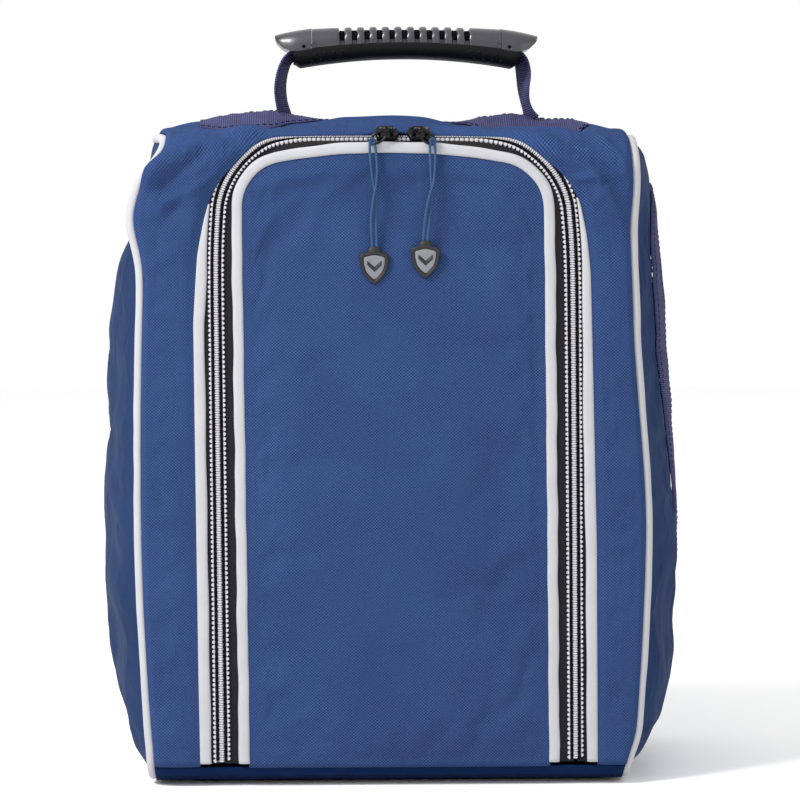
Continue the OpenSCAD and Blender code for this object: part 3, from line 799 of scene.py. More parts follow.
def strip(name, s, d, h, material, wrap=False):
    """A band along the zip: s per row, and for each row its d and h across."""
    x, length = arch_at(s[:, None] + 0 * d, d)
    points = shell(x, length, h)
    uv = np.stack([s[:, None] + 0 * d, d + 0 * h], -1) * MM
    obj = grid_object(name, points, uv, wrap_m=wrap, material=material)
    return closed_up(obj, *end_rings(len(s), d.shape[1]))


def band_profile(inner, outer, rise, low):
    """Closed cross-section of a folded strip: across it and its height, one row per place."""
    a = full_turn(14)[None]
    mid, half = (inner + outer)[:, None] / 2, (outer - inner)[:, None] / 2
    c, q = np.cos(a), np.sin(a)
    d = mid + half * signed_power(c, 0.7)
    h = np.where(q > 0, low + (rise - low) * np.abs(q) ** 0.8, low - 0.3 * np.abs(q))
    return d, h


def make_zip():
    """White bindings and dark tapes on both sides of the chain."""
    s = np.linspace(1.5, ARCH_LEN - 1.5, 520)
    # inner side, on the door
    wave = 0.18 * np.sin(s / 9.0) + 0.12 * np.sin(s / 3.7)
    d, h = band_profile(np.full(len(s), -BIND_OUT) + wave * 0.5, np.full(len(s), -BIND_IN) + wave, 1.5, 0.1)
    sew_to_door(strip("inner_binding", s, d, h, WHITE, wrap=True), "inner_zip_binding")
    d, h = band_profile(np.full(len(s), -BIND_OUT + 1.5), TEETH_SHIFT - 0.7 - drift(s), -0.05, -0.5)
    sew_to_door(strip("inner_tape", s, d, h, TAPE, wrap=True), "zip_tape_inner")
    # outer side, on the surround
    edge = gusset_edge(s)
    d, h = band_profile(TEETH_SHIFT + 0.7 - drift(s), np.maximum(edge, 3.2 - drift(s)) + 1.0, -0.05, -0.5)
    place(strip("outer_tape", s, d, h, TAPE, wrap=True), "bag", "zip_tape", "zip_tape_outer")
    inner = np.maximum(edge - BIND_W, TEETH_SHIFT + 4.5 - drift(s))
    for side, rows in (("left", s < ARCH_LEN / 2), ("right", s > ARCH_LEN / 2)):
        keep = rows & (edge - inner > 0.35)
        wave = 0.15 * np.sin(s[keep] / 8.0 + 1)
        d, h = band_profile(inner[keep] + wave, edge[keep] + 0.3, 1.5, 0.1)
        binding = strip(f"outer_binding_{side}", s[keep], d, h, WHITE, wrap=True)
        place(binding, "bag", "binding", "outer_zip_binding")


BIND_W = BIND_OUT - BIND_IN
PITCH = 2.35                # from tooth to tooth along one row
TEETH_SHIFT = 1.1           # the row of teeth sits a little outside the middle of its tapes


def tooth_shape(s_mid, sign):
    """Foot, neck and head of one tooth: rings of (s, d) seen from above, with their two heights."""
    foot = [(-1.12, 2.7), (1.12, 2.7), (0.95, 3.3), (0.42, 4.05), (-0.42, 4.05), (-0.95, 3.3)]
    neck = [(-0.5, 0.9), (0.5, 0.9), (0.5, 2.9), (0.2, 3.0), (-0.2, 3.0), (-0.5, 2.9)]
    head = [(-0.28, -1.1), (0.28, -1.1), (0.56, -0.3), (0.44, 1.15), (-0.44, 1.15), (-0.56, -0.3)]
    parts = ((foot, -0.2, 1.25), (neck, -0.2, 0.55), (head, 0.1, 1.75))
    return [([(s_mid + a, TEETH_SHIFT + sign * d) for a, d in ring], low, high)
            for ring, low, high in parts]


def make_teeth(name, sign, body, node):
    """One row of moulded teeth; the inner row sits half a pitch on from the outer one."""
    verts, faces = [], []
    first = 3.0 + (0 if sign > 0 else PITCH / 2)
    for s_mid in np.arange(first, ARCH_LEN - 3, PITCH):
        for ring, low, high in tooth_shape(s_mid, sign):
            ring = np.array(ring)
            centre = ring.mean(0)
            faces += stack_faces(3, len(ring), len(verts))
            for scale, h in ((1.0, low), (1.0, low + (high - low) * 0.65), (0.72, high)):
                verts += [(*(centre + (q - centre) * scale), h) for q in ring]
    v = np.array(verts)
    x, length = arch_at(v[:, 0], v[:, 1] - drift(v[:, 0]))
    obj = mesh_object(name, shell(x, length, v[:, 2]), faces, v[:, :2] * MM, smooth=False, material=TEETH)
    place(closed_up(obj), body, "zip_teeth", node)


def make_stitch_lines():
    """The black thread that sews each row of teeth to its tape."""
    s = np.linspace(3, ARCH_LEN - 3, 640)
    for name, d, body in (("tooth_thread_outer", TEETH_SHIFT + 1.95, "bag"),
                          ("tooth_thread_inner", TEETH_SHIFT - 1.95, "door")):
        x, length = arch_at(s, d - drift(s))
        path = shell(x, length, 0.95 + 0.12 * np.sin(s * 2 * math.pi / PITCH))
        place(tube(name, path, 0.62, 8, material=THREAD), body, "zip_tape")


# ---------------------------------------------------------------- how the cloth settles
SETTLE_FRAMES = 20


def settle(obj, held, cap=2.5, pressure=0.5, spare=0.012):
    """Lets cloth fill out and wrinkle by simulation, and keeps the shape it takes.

    held is 1 at its sewn edges and 0 where it is free; spare is how much bigger it is cut than its place.
    """
    scene, me = bpy.context.scene, obj.data
    group = obj.vertex_groups.new(name="sewn")
    level = np.round(np.asarray(held).ravel() * 10).astype(int)
    for k in range(1, 11):
        group.add(np.flatnonzero(level == k).tolist(), k / 10, "REPLACE")
    mod = modifier(obj, "CLOTH")
    for key, value in (("quality", 5), ("mass", 0.15),
                       ("tension_stiffness", 12), ("compression_stiffness", 12),
                       ("shear_stiffness", 6), ("bending_stiffness", 0.3), ("use_pressure", True),
                       ("uniform_pressure_force", pressure), ("shrink_min", -spare),
                       ("vertex_group_mass", "sewn")):
        setattr(mod.settings, key, value)
    mod.settings.effector_weights.gravity = 0
    mod.collision_settings.use_collision = False
    mod.point_cache.frame_start, mod.point_cache.frame_end = 1, SETTLE_FRAMES
    for frame_number in range(1, SETTLE_FRAMES + 1):
        scene.frame_set(frame_number)
    before = np.zeros(len(me.vertices) * 3, np.float32)
    after = before.copy()
    me.vertices.foreach_get("co", before)
    obj.evaluated_get(bpy.context.evaluated_depsgraph_get()).data.vertices.foreach_get("co", after)
    move = (after - before).reshape(-1, 3)
    far = np.linalg.norm(move, axis=1, keepdims=True)
    move *= np.tanh(far / (cap * MM)) * cap * MM / np.maximum(far, 1e-9)
    obj.modifiers.remove(mod)
    me.vertices.foreach_set("co", (before + move.ravel()).astype(np.float32))
    me.update()
    scene.frame_set(1)


# ---------------------------------------------------------------- front cloth: door and surround
def make_door():
    """The door's cloth, from the bottom seam up to the arch."""
    half = DOOR_HALF - BIND_OUT + 0.6
    x = -half + half * (1 - np.cos(np.linspace(0, math.pi, 90)))
    r_small, r_big = CORNER_R - BIND_OUT + 0.6, ARCH_R - BIND_OUT + 0.6
    past = np.clip(np.abs(x) - CORNER_X, 0, r_small)
    over = np.abs(x) > r_big * CORNER_X / (ARCH_R - CORNER_R)
    top = np.where(over, CORNER_CZ + np.sqrt(np.maximum(r_small**2 - past**2, 0)),
                   ARCH_CZ + np.sqrt(r_big**2 - x**2))
    t = np.linspace(0, 1, 120)
    length = t[None] * (top[:, None] - SEAM_Z)
    xx = np.repeat(x[:, None], len(t), 1)
    soft = 0.5 * smooth_noise(xx, length, 3, 150, 2) + 0.22 * smooth_noise(xx, length, 4, 45, 2)
    edge = np.minimum(np.minimum(half - np.abs(xx), top[:, None] - SEAM_Z - length), length + 6)
    h = 0.5 + soft * smoothstep(0, 26, edge) + 0.5 * smoothstep(0, 10, edge)
    obj = grid_object("door_cloth", shell(xx, length, h), np.stack([xx, length], -1) * MM,
                      material=[MAIN, LINING])
    settle(obj, 1 - smoothstep(2, 9, np.minimum(edge, length + 2)))
    thicken(obj, 1.6, inner=1)
    sew_to_door(obj, "door_panel")


# creases that run from the zip's corners out to the piping's: x, height, angle, depth and width
CREASES = ((-103, 303, 35, -1.6, 3), (-92, 313, 14, 1.5, 3), (-108, 283, 60, -1.1, 3),
           (-84, 318, -24, -1.3, 3), (-97, 294, 28, 0.9, 2.5), (98, 305, -35, -1.8, 3),
           (104, 290, -60, 1.3, 3), (90, 316, -15, -1.2, 3), (92, 299, 8, 1.0, 2.2),
           (106, 313, -48, 1.2, 2.2), (80, 309, -20, 0.9, 2.5))


def surround_grid():
    """The surround's points from the zip out to the seams, and how far each is from both."""
    s = np.concatenate([np.linspace(0, UPRIGHT, 80)[:-1], np.linspace(UPRIGHT, ARCH_LEN / 2, 120)])
    s = np.concatenate([s, (ARCH_LEN - s)[-2::-1]])
    inner_x, inner_l = arch_at(s, gusset_edge(s))
    side = np.where(s < ARCH_LEN / 2, -1, 1)
    q = np.clip(np.minimum(s, ARCH_LEN - s) - UPRIGHT, 0, None) / (ARCH_LEN / 2 - UPRIGHT)
    edge_total = np.interp(side * HALF_TOP, TABLE_X, TOTAL_L)
    straight = np.minimum(s, ARCH_LEN - s) + 0.6
    # past the corner the outer point climbs the side seam, turns the back corner and follows the back seam
    climb = np.clip(q / 0.55, 0, 1) ** 0.9
    outer_l = np.where(q > 0, (UPRIGHT + 0.6) + (edge_total - UPRIGHT - 0.6) * climb, straight)
    run = np.clip((q - 0.55) / 0.45, 0, 1)
    outer_x = np.where(side < 0, seam_l(-1, outer_l), seam_l(1, outer_l)) * (1 - run)
    outer_l = np.where(run > 0, np.interp(outer_x, TABLE_X, TOTAL_L), outer_l)
    t = np.linspace(0, 1, 46)[None] ** 1.15
    x = inner_x[:, None] * (1 - t) + outer_x[:, None] * t
    length = inner_l[:, None] * (1 - t) + outer_l[:, None] * t
    reach = np.hypot(x - inner_x[:, None], length - inner_l[:, None])
    left = np.hypot(x - outer_x[:, None], length - outer_l[:, None])
    return s, q, x, length, reach, left


def make_surround():
    """Cloth beside and above the door, carried over the fold and across the top to the back seam."""
    s, q, x, length, reach, left = surround_grid()
    yz = sheet_yz(x, length)
    y, z = yz[..., 0], yz[..., 1]
    top_run = smoothstep(0.0, 0.35, q)[:, None]
    lap = 1 - smoothstep(2.5, 6.5, gusset_edge(s) + drift(s))[:, None]      # where it laps over the teeth
    h = 0.7 + 1.4 * lap * (1 - smoothstep(10, 30, reach)) + 0.9 * smoothstep(0, 5, reach)
    h += top_run * 2.0 * smoothstep(0, 5, reach) * (1 - smoothstep(9, 30, reach))
    h += 2.6 * hump(x, -104, 17) * hump(z, 292, 26) * smoothstep(0, 8, reach) * smoothstep(0, 5, left)
    h += 2.4 * hump(x, 100, 15) * hump(z, 296, 22) * smoothstep(0, 8, reach) * smoothstep(0, 5, left)
    h += 2.6 * hump(x, 4, 18) * hump(y, -56, 12)
    calm = smoothstep(0, 14, reach) * smoothstep(0, 10, left)
    fold = 0.55 + 0.9 * smoothstep(230, 300, z)
    sewn = 1 - smoothstep(-36, -26, y)       # it lies flat where the webbing is sewn on
    wrinkles = 0.9 * smooth_noise(x, length, 11, 70, 2) + 0.5 * smooth_noise(x * 1.6, length, 12, 28, 2)
    h += sewn * calm * fold * wrinkles
    for cx, cz, angle, depth, width in CREASES:
        a = math.radians(angle)
        lx, lz = x - cx, length + SEAM_Z - cz
        along, across = lx * math.cos(a) + lz * math.sin(a), -lx * math.sin(a) + lz * math.cos(a)
        h += 1.5 * depth * hump(across, 0, width) * hump(along, 0, 20) * \
            smoothstep(0, 6, reach) * smoothstep(0, 6, left)
    over = hump(z, 303, 6) * (x < 0) * (1 - smoothstep(0, 20, left))        # it hangs over the left seam here
    h = h * smoothstep(-0.5, 3.0, left) + 4.2 * over
    x = x - 3.0 * over
    obj = grid_object("surround_cloth", shell(x, length, h), np.stack([x, length], -1) * MM,
                      material=[MAIN, LINING])
    settle(obj, 1 - smoothstep(2, 8, np.minimum(np.minimum(reach, left), length)) * sewn)
    thicken(obj, 1.6, inner=1)
    place(obj, "bag", "fabric_main", "front_top_panel")


# ---------------------------------------------------------------- side outline, piping and side panels
def edge_loop():
    """Closed outline of the body's side edge as (y, z): up the front, over, down the back and under."""
    top = column(HALF_TOP)
    z0 = BASE_Z + FOOT_R
    corner_z = top[-1, 1] - BACK_CORNER_R * math.sin(BACK_TURN)
    start = [(FRONT_Y, z0), (FRONT_Y, z0 + 1)]
    back = arc(BACK_Y - BACK_CORNER_R, corner_z, BACK_CORNER_R, 70, 0, 14)
    down = [(BACK_Y, z) for z in np.linspace(corner_z - 4, z0 + 4, 60)]
    under = [(y, BASE_Z) for y in np.linspace(BACK_Y - FOOT_R - 4, FRONT_Y + FOOT_R + 4, 26)]
    foot_back = arc(BACK_Y - FOOT_R, z0, FOOT_R, 0, -90, 10)
    foot_front = arc(FRONT_Y + FOOT_R, z0, FOOT_R, 270, 186, 10)
    loop = np.vstack([start, top[top[:, 1] > z0 + 1.5], back, down, foot_back, under, foot_front])
    closed = np.vstack([loop, loop[:1]])
    s = distances(closed)
    return sampled(closed, np.linspace(0, s[-1], 301)[:-1], s)


EDGE = edge_loop()


def inset(loop, d):
    """The closed outline moved inward by d."""
    tangent = unit(np.roll(loop, -2, 0) - np.roll(loop, 2, 0))
    inward = np.stack([tangent[:, 1], -tangent[:, 0]], 1)
    return loop + d * inward


RIM = PIPING_R + 3.0
TOP_EDGE = EDGE[EDGE[:, 1] > 170]


def rise(y, z):
    """How far a side panel stands out, from 0 at its seam to 1: full below and tapering above."""
    front, back = FRONT_Y + RIM, BACK_Y - RIM
    yy = np.clip((y - (front + back) / 2) / ((back - front) / 2), -1, 1)
    order = np.argsort(TOP_EDGE[:, 0])
    high = np.interp(y, TOP_EDGE[order, 0], TOP_EDGE[order, 1]) - RIM
    past = np.clip(np.abs(y) - BACK_Y + FOOT_R, 0, FOOT_R)
    low = BASE_Z + RIM + FOOT_R - np.sqrt(np.maximum(FOOT_R**2 - past**2, 0))
    mid = 0.5 * (BODY_H + BASE_Z)
    t = np.where(z > mid, (z - mid) / (high - mid), (mid - z) / (mid - low))
    t = np.clip(t, 0, 1)
    tall = np.where(z > mid, (1 - t**2.2) ** 0.85, (1 - t**5) ** 0.5)
    return (1 - np.abs(yy) ** 3) ** 0.8 * tall


SIDE_BULGE = 20.0


def side_point(side, y, z, lift=0.0):
    """Point of a side panel's cloth: a soft dome with upright creases."""
    r = rise(y, z)
    crease = 0.9 * smooth_noise(y * 1.5, z * 0.28, 21 + side, 34, 2)
    crease = crease + 0.6 * smooth_noise(y, z, 25 + side, 60, 2)
    if side > 0:
        upper = 3.2 * hump(z, 309, 20) * (1 - (y / 80) ** 2) - 5.2 * hump(z, 196, 62)
        brow = 3.4 * hump(z, 312, 8) * np.clip(1 - (y / 66) ** 2, 0, 1)
    else:
        upper = 1.0 * hump(z, 316, 12) - 1.6 * hump(z, 200, 60) - 5.0 * smoothstep(252, 276, z)
        brow = 0
    front = seam_x(side, y, z) - side * half_w(z)
    folds = (crease + upper) * smoothstep(0.02, 0.35, r)
    x = half_w(z) + PIPING_R * 0.55 + SIDE_BULGE * r + folds + brow + lift
    return np.stack([side * x + front, y, z], -1)


WINDOW_Z, WINDOW_TALL = 188, 104        # middle of the mesh window and its half height
WINDOW_WIDE, WINDOW_FLARE = 36, 14      # its half width at the middle, and what that gains by the top
WINDOW_LEAN = 6                         # how far its top leans to the front
WINDOW_POWER = 0.7                      # how square its corners are
MESH_INSET = 3
RING_POINTS = 180
PANEL_ROWS = 44
PANEL_CENTRE = (0.0, 165.0)


def window_outline(g, n=180):
    """Outline of the mesh window, wide above and narrow below, grown by g."""
    a = full_turn(n)
    u, v = signed_power(np.cos(a), WINDOW_POWER), signed_power(np.sin(a), WINDOW_POWER)
    return np.stack([(WINDOW_WIDE + WINDOW_FLARE * v + g) * u - WINDOW_LEAN * v,
                     WINDOW_Z + (WINDOW_TALL + g) * v], 1)


def ring_start(loop):
    """A closed outline as points at even angles about the panel's centre, from its +y side on."""
    dy, dz = (loop - PANEL_CENTRE).T
    angle = np.mod(np.arctan2(dz / 2.2, dy), 2 * math.pi)
    order = np.argsort(angle)
    at, pts = angle[order], loop[order]
    at = np.concatenate([at[-1:] - 2 * math.pi, at, at[:1] + 2 * math.pi])
    return sampled(np.vstack([pts[-1:], pts, pts[:1]]), full_turn(RING_POINTS), at)


def make_side_panel(side):
    """One side's cloth: whole on the left, and open at the window on the right."""
    name = "side_panel_left" if side < 0 else "side_panel_right"
    outer = ring_start(inset(EDGE, RIM - 1.2))
    if side < 0:
        inner = np.array(PANEL_CENTRE) + (outer - PANEL_CENTRE) * 0.03
    else:
        inner = ring_start(window_outline(6.5, 720))
    t = np.linspace(0, 1, PANEL_ROWS)[:, None, None]
    yz = outer[None] * (1 - t) + inner[None] * t
    points = side_point(side, yz[..., 0], yz[..., 1])
    obj = grid_object(name + "_cloth", points, yz * MM, wrap_m=True, flip=side > 0, material=[SIDE, LINING])
    if side < 0:
        closed_up(obj, range((PANEL_ROWS - 1) * RING_POINTS, PANEL_ROWS * RING_POINTS))
    free = smoothstep(0.04, 0.2, t) * (1 if side < 0 else smoothstep(0.04, 0.2, 1 - t)) + 0 * yz[..., :1]
    settle(obj, 1 - free, spare=0.015)
    thicken(obj, 1.5, inner=1)
    place(obj, "bag", "fabric_side", name)


def make_piping(side):
    """The piping round one side, and the tape that binds its seam inside."""
    name = "left" if side < 0 else "right"
    loop = inset(EDGE, PIPING_R + 0.4)
    y, z = loop[:, 0], loop[:, 1]
    wobble = 0.25 * smooth_noise(y, z, 31 + side, 60, 2)
    path = np.stack([seam_x(side, y, z) + wobble, y, z], 1)
    roll = tube(f"side_piping_{name}_roll", path, PIPING_R, 12, closed=True, material=WHITE, up=(1, 0, 0))
    place(roll, "bag", "piping", "side_piping_" + name)
    tapes = []
    for dx, d in ((-1.2, 1.2), (-2.2, 1.6), (-9.0, 2.6)):
        y, z = inset(EDGE, d + 0.8).T
        tapes.append(np.stack([seam_x(side, y, z) + side * dx, y, z], -1))
    tape = grid_object("side_tape_" + name, np.array(tapes), wrap_m=True, flip=side > 0, material=THREAD)
    thicken(tape, 0.7, offset=0)
    place(tape, "bag", "seam_tape", "seam_tape_" + name)


CELL = 3.2                  # from hole to hole of the mesh
FRAME_PROFILE = ((-6.4, 0.3), (-6.2, 1.4), (-3, 1.9), (0, 2.0), (3, 1.9), (6.2, 1.4), (6.4, 0.3), (0, -0.2))


def in_mesh(y, z):
    """Whether a place on the side lies within the mesh."""
    v = np.clip((z - WINDOW_Z) / (WINDOW_TALL - MESH_INSET), -1, 1)
    sa = signed_power(v, 1 / WINDOW_POWER)
    ca = np.sqrt(max(1 - sa * sa, 0)) ** WINDOW_POWER
    wide = (WINDOW_WIDE + WINDOW_FLARE * v - MESH_INSET) * ca
    return abs(z - WINDOW_Z) < WINDOW_TALL - MESH_INSET and abs(y + WINDOW_LEAN * v) < wide


def make_mesh():
    """Mesh with real six-sided holes."""
    verts, faces, index = [], [], {}

    def vertex(y, z):
        key = (round(y, 2), round(z, 2))
        if key not in index:
            index[key] = len(verts)
            verts.append(key)
        return index[key]
    for j, z in enumerate(np.arange(78, 298, CELL)):
        for y in np.arange(-58, 60, CELL) + (CELL / 2 if j % 2 else 0):
            y = y + CELL / 2
            if in_mesh(y, z):
                faces.append([vertex(*corner) for corner in arc(y, z, CELL * 0.577, 30, 330, 6)])
    v = np.array(verts)
    obj = mesh_object("window_mesh", side_point(1, v[:, 0], v[:, 1], -0.8), faces, v * MM, material=MESH)
    modifier(obj, "WIREFRAME", thickness=0.75 * MM, use_even_offset=False, use_boundary=True)
    place(obj, "bag", "mesh", "side_mesh_right")


def make_window_frame():
    """The stitched webbing that frames the mesh."""
    n = 240
    rings = [side_point(1, *window_outline(g, n).T, lift) for g, lift in FRAME_PROFILE]
    across = np.array([g for g, _ in FRAME_PROFILE])[:, None]
    uv = np.stack(np.broadcast_arrays(distances(window_outline(0, n)), across), -1)
    binding = grid_object("window_binding", np.array(rings), uv * MM, wrap_n=True, wrap_m=True, flip=True,
                          material=WEBBING)
    place(binding, "bag", "webbing", "mesh_binding_right")
    rows = [side_point(1, *window_outline(g, n * 2).T, 1.72) for g in (-4.8, 4.8)]
    make_stitches("window_stitches", rows, 3.0, "bag", "webbing", radius=0.2)


def make_stitches(name, paths, pitch, body, slot, radius=0.32, closed=True):
    """Rows of short raised thread stitches laid along paths."""
    verts, faces, sides = [], [], 5
    for path in paths:
        path = np.vstack([path, path[:1]]) if closed else path
        s = distances(path)
        for a in np.arange(0.5, s[-1] - pitch, pitch):
            line = sampled(path, np.array([a, a + pitch * 0.18, a + pitch * 0.5, a + pitch * 0.68]), s)
            t = unit(line[-1] - line[0])
            side = unit(np.cross(t, (0.31, 0.52, 0.79)))
            up = np.cross(side, t)
            faces += stack_faces(len(line), sides, len(verts))
            for point, r in zip(line, (0.4, 1.0, 1.0, 0.4)):
                for b in range(sides):
                    ang = b * 2 * math.pi / sides
                    verts.append(point + radius * r * (math.cos(ang) * side + math.sin(ang) * up))
    obj = closed_up(mesh_object(name, np.array(verts), faces, material=NAVY_THREAD))
    place_small(obj, body, slot)


# ---------------------------------------------------------------- back, bottom and base
def make_back():
    """The back's cloth, from its seam on the top down to the foot."""
    x = np.linspace(-1, 1, 90)
    corner_z = BODY_H - BACK_DROP - BACK_CORNER_R * math.sin(BACK_TURN)
    down = [(BACK_Y, z) for z in np.linspace(corner_z - 3, BASE_Z + FOOT_R, 100)]
    path = np.array(arc(BACK_Y - BACK_CORNER_R, corner_z, BACK_CORNER_R, 72, 0, 18) + down)
    s = distances(path)
    z = np.repeat(path[None, :, 1], len(x), 0)
    y = np.repeat(path[None, :, 0], len(x), 0)
    xx = x[:, None] * (half_w(z) - 1.2)
    drop = 3 * np.clip(np.abs(xx) / HALF_TOP, 0, 1.05) ** 2 * smoothstep(corner_z - 30, corner_z + 20, z)
    ss = np.repeat(s[None], len(x), 0)
    edge = np.minimum((1 - np.abs(x[:, None])) * 120, np.minimum(ss, s[-1] - ss))
    calm = smoothstep(0, 24, edge)
    puff = 2.2 * smoothstep(0, 60, edge) + calm * (1.1 * smooth_noise(xx, ss, 41, 130, 3)
                                                   + 0.5 * smooth_noise(xx * 1.4, ss, 42, 42, 2))
    puff -= 1.6 * hump(np.abs(xx) - 52 - 6 * np.sin(ss / 60), 0, 6) * calm * 0.5
    pts = np.stack([xx, y + puff * np.clip((y - 40) / 35, 0, 1), z - drop + puff * 0.2 * (z > corner_z)], -1)
    obj = grid_object("back_cloth", pts, np.stack([xx, ss], -1) * MM, material=[MAIN, LINING])
    settle(obj, 1 - smoothstep(3, 12, edge))
    thicken(obj, 1.6, inner=1)
    place(obj, "bag", "fabric_main", "back_panel")


def make_bottom():
    """Dark strip round the foot of the bag and the flat underside."""
    z0, r = BASE_Z + FOOT_R, FOOT_R
    a_top = math.asin(np.clip((SEAM_Z - z0) / r, -1, 1))
    front = [(FRONT_Y + r - r * math.cos(a), z0 + r * math.sin(a))
             for a in np.linspace(a_top, -math.pi / 2, 22)]
    mid = [(y, BASE_Z) for y in np.linspace(FRONT_Y + r + 6, BACK_Y - r - 6, 24)]
    back = [(BACK_Y - r + r * math.cos(a), z0 + r * math.sin(a)) for a in np.linspace(-math.pi / 2, 0, 14)]
    path = np.array(front + mid + back)
    s = distances(path)
    x = np.linspace(-1, 1, 120)
    y, z = np.repeat(path[None, :, 0], len(x), 0), np.repeat(path[None, :, 1], len(x), 0)
    right, left = seam_x(1, y, z) - 1.2, seam_x(-1, y, z) + 1.2
    xx = np.where(x[:, None] > 0, right, -left) * x[:, None]
    ss = np.repeat(s[None], len(x), 0)
    edge = np.minimum((1 - np.abs(x[:, None])) * 120, np.minimum(ss, s[-1] - ss))
    pucker = smoothstep(0, 3, edge) * (0.8 * smooth_noise(xx * 2.2, ss * 0.7, 51, 40, 3) + 0.5)
    out_y = np.where(y < -50, -1.0, np.where(y > 50, 1.0, 0.0))
    pts = np.stack([xx, y + out_y * (0.6 + pucker) * smoothstep(BASE_Z, BASE_Z + 5, z), z], -1)
    obj = grid_object("bottom_cloth", pts, np.stack([xx, ss], -1) * MM, flip=True, material=[BOTTOM, LINING])
    thicken(obj, 1.2, inner=1)
    place(obj, "bag", "fabric_bottom", "bottom_panel")
    row = pts[:, 9] + (0, -0.25, 0)
    make_stitches("bottom_stitches", [row], 3.0, "bag", "fabric_bottom", closed=False)


def rounded_rect(w, d, r, n=12):
    """Outline of a rectangle with rounded corners, given its half sizes."""
    pts = []
    for cx, cy, a0 in ((w - r, d - r, 0), (r - w, d - r, 90), (r - w, r - d, 180), (w - r, r - d, 270)):
        pts += arc(cx, cy, r, a0, a0 + 90, n)
    return np.array(pts)


def slab(name, outline, levels, material, slot, node):
    """A flat sheet with rounded edges: each level gives an inset and a height."""
    verts = np.vstack([np.column_stack([outline - np.sign(outline) * inset_mm, np.full(len(outline), z)])
                       for inset_mm, z in levels])
    obj = mesh_object(name, verts, stack_faces(len(levels), len(outline)), material=material)
    modifier(obj, "EDGE_SPLIT", split_angle=math.radians(50))
    place_small(obj, "bag", slot, node)


def make_base():
    """The coated skin that the bag stands on and the board inside it."""
    (x0, y0, _), (x1, y1, _) = box_mm("base_skin")
    slab("base_skin_sheet", rounded_rect((x1 - x0) / 2, (y1 - y0) / 2, 12),
         [(1.2, 0.0), (0.3, 0.12), (0, 0.5), (0, 1.0), (0.6, 1.35)], SKIN, "coated_skin", "base_skin")
    (x0, y0, z0), (x1, y1, z1) = box_mm("base_board")
    slab("base_board_sheet", rounded_rect((x1 - x0) / 2, (y1 - y0) / 2, 10),
         [(1.0, z0), (0.2, z0 + 0.3), (0, z0 + 1.0), (0.3, z1 - 0.2), (1.2, z1)],
         BOARD, "board", "base_board")


# ---------------------------------------------------------------- top webbing, strap and handle
BAND_HALF = 13.0            # half the width of the webbing along the top


def make_top_webbing():
    """Ribbed webbing sewn along the crest, rumpled and rolled up at its left end."""
    (x0, _, _), (x1, _, _) = box_mm("top_webbing")
    x = np.linspace(x0, x1, 260)
    a = full_turn(30)
    ww, lift = signed_power(np.cos(a), 0.6), signed_power(np.sin(a), 0.35)
    left = smoothstep(-46, -60, x) * smoothstep(x0, x0 + 14, x)
    right = smoothstep(36, 52, x) * smoothstep(x1, x1 - 12, x)
    thick = 0.9 + 1.8 * left + 0.9 * right + 0.5 * smooth_noise(x, 0 * x, 61, 22, 2) * (left + right)
    y = BAND_HALF * ww[None] + CREST_Y + 1.5 * np.sin(x / 17)[:, None] - 8.0 * (left + right)[:, None]
    sheet = np.stack([np.interp(yy, *top_profile(xx)) for xx, yy in zip(x, y)])
    ripple = 0.6 * smooth_noise(x[:, None] + 0 * y, y * 2, 62, 18, 2)
    height = (1.9 - 0.6 * middle(x))[:, None] + thick[:, None] * (1 + lift[None]) * 0.5
    height = height + (left + right)[:, None] * ripple * (lift[None] > 0)
    z = sheet + height
    xs = np.repeat(x[:, None], len(a), 1) - 3.0
    uv = np.stack(np.broadcast_arrays(xs, BAND_HALF * ww[None]), -1)
    obj = grid_object("top_band", np.stack([xs, y, z], -1), uv * MM, wrap_m=True, flip=True, material=WEBBING)
    place(obj, "bag", "webbing", "top_webbing")
    rows = [np.stack([x - 3.0, y[:, k], z[:, k] + 0.15], -1) for k in (3, 12)]
    make_stitches("top_band_stitches", rows, 3.4, "bag", "webbing", closed=False)


def top_profile(x):
    """Height of the top cloth at x as sorted (y, z) arrays."""
    i = int(np.clip(round((x - TABLE_X[0]) / STEP_X), 0, len(TABLE_X) - 1))
    t = TABLE[i]
    t = t[t[:, 1] > BODY_H - 26]
    keep = np.concatenate([[True], np.diff(np.maximum.accumulate(t[:, 0])) > 1e-6])
    return t[keep, 0], t[keep, 1]


SHELL_HALF = 48.0           # half the length of the ribbed upper shell
GRIP_HALF = 57.5            # and of the soft lower grip
HANDLE_HALF_D = 14.0
SLOTS = 11
SLOT_PITCH = 6.35
SLOT_W = 2.3
# places across one slot, from its middle, and how deep the shell is cut there; crowded at the slot's walls
SLOT_CUT = ((-SLOT_PITCH / 2 + 0.1, 0), (-SLOT_W / 2 - 0.9, 0), (-SLOT_W / 2 - 0.25, 0.12),
            (-SLOT_W / 2, 0.9), (-SLOT_W / 2 + 0.15, 1), (SLOT_W / 2 - 0.15, 1), (SLOT_W / 2, 0.9),
            (SLOT_W / 2 + 0.25, 0.12),
            (SLOT_W / 2 + 0.9, 0))


def handle_top(u):
    """Height of the shell's top at u along the handle."""
    return BODY_H + 46 - 1.3 * (u / SHELL_HALF) ** 2


def parting(u):
    """Height of the line where the shell meets the grip."""
    return BODY_H + 37 - 3.0 * (u / SHELL_HALF) ** 2


def grip_low(u):
    """Height of the grip's underside."""
    return BODY_H + 29.5 - 5.5 * (u / GRIP_HALF) ** 2 + 2.6 * smoothstep(GRIP_HALF - 4, GRIP_HALF, abs(u))


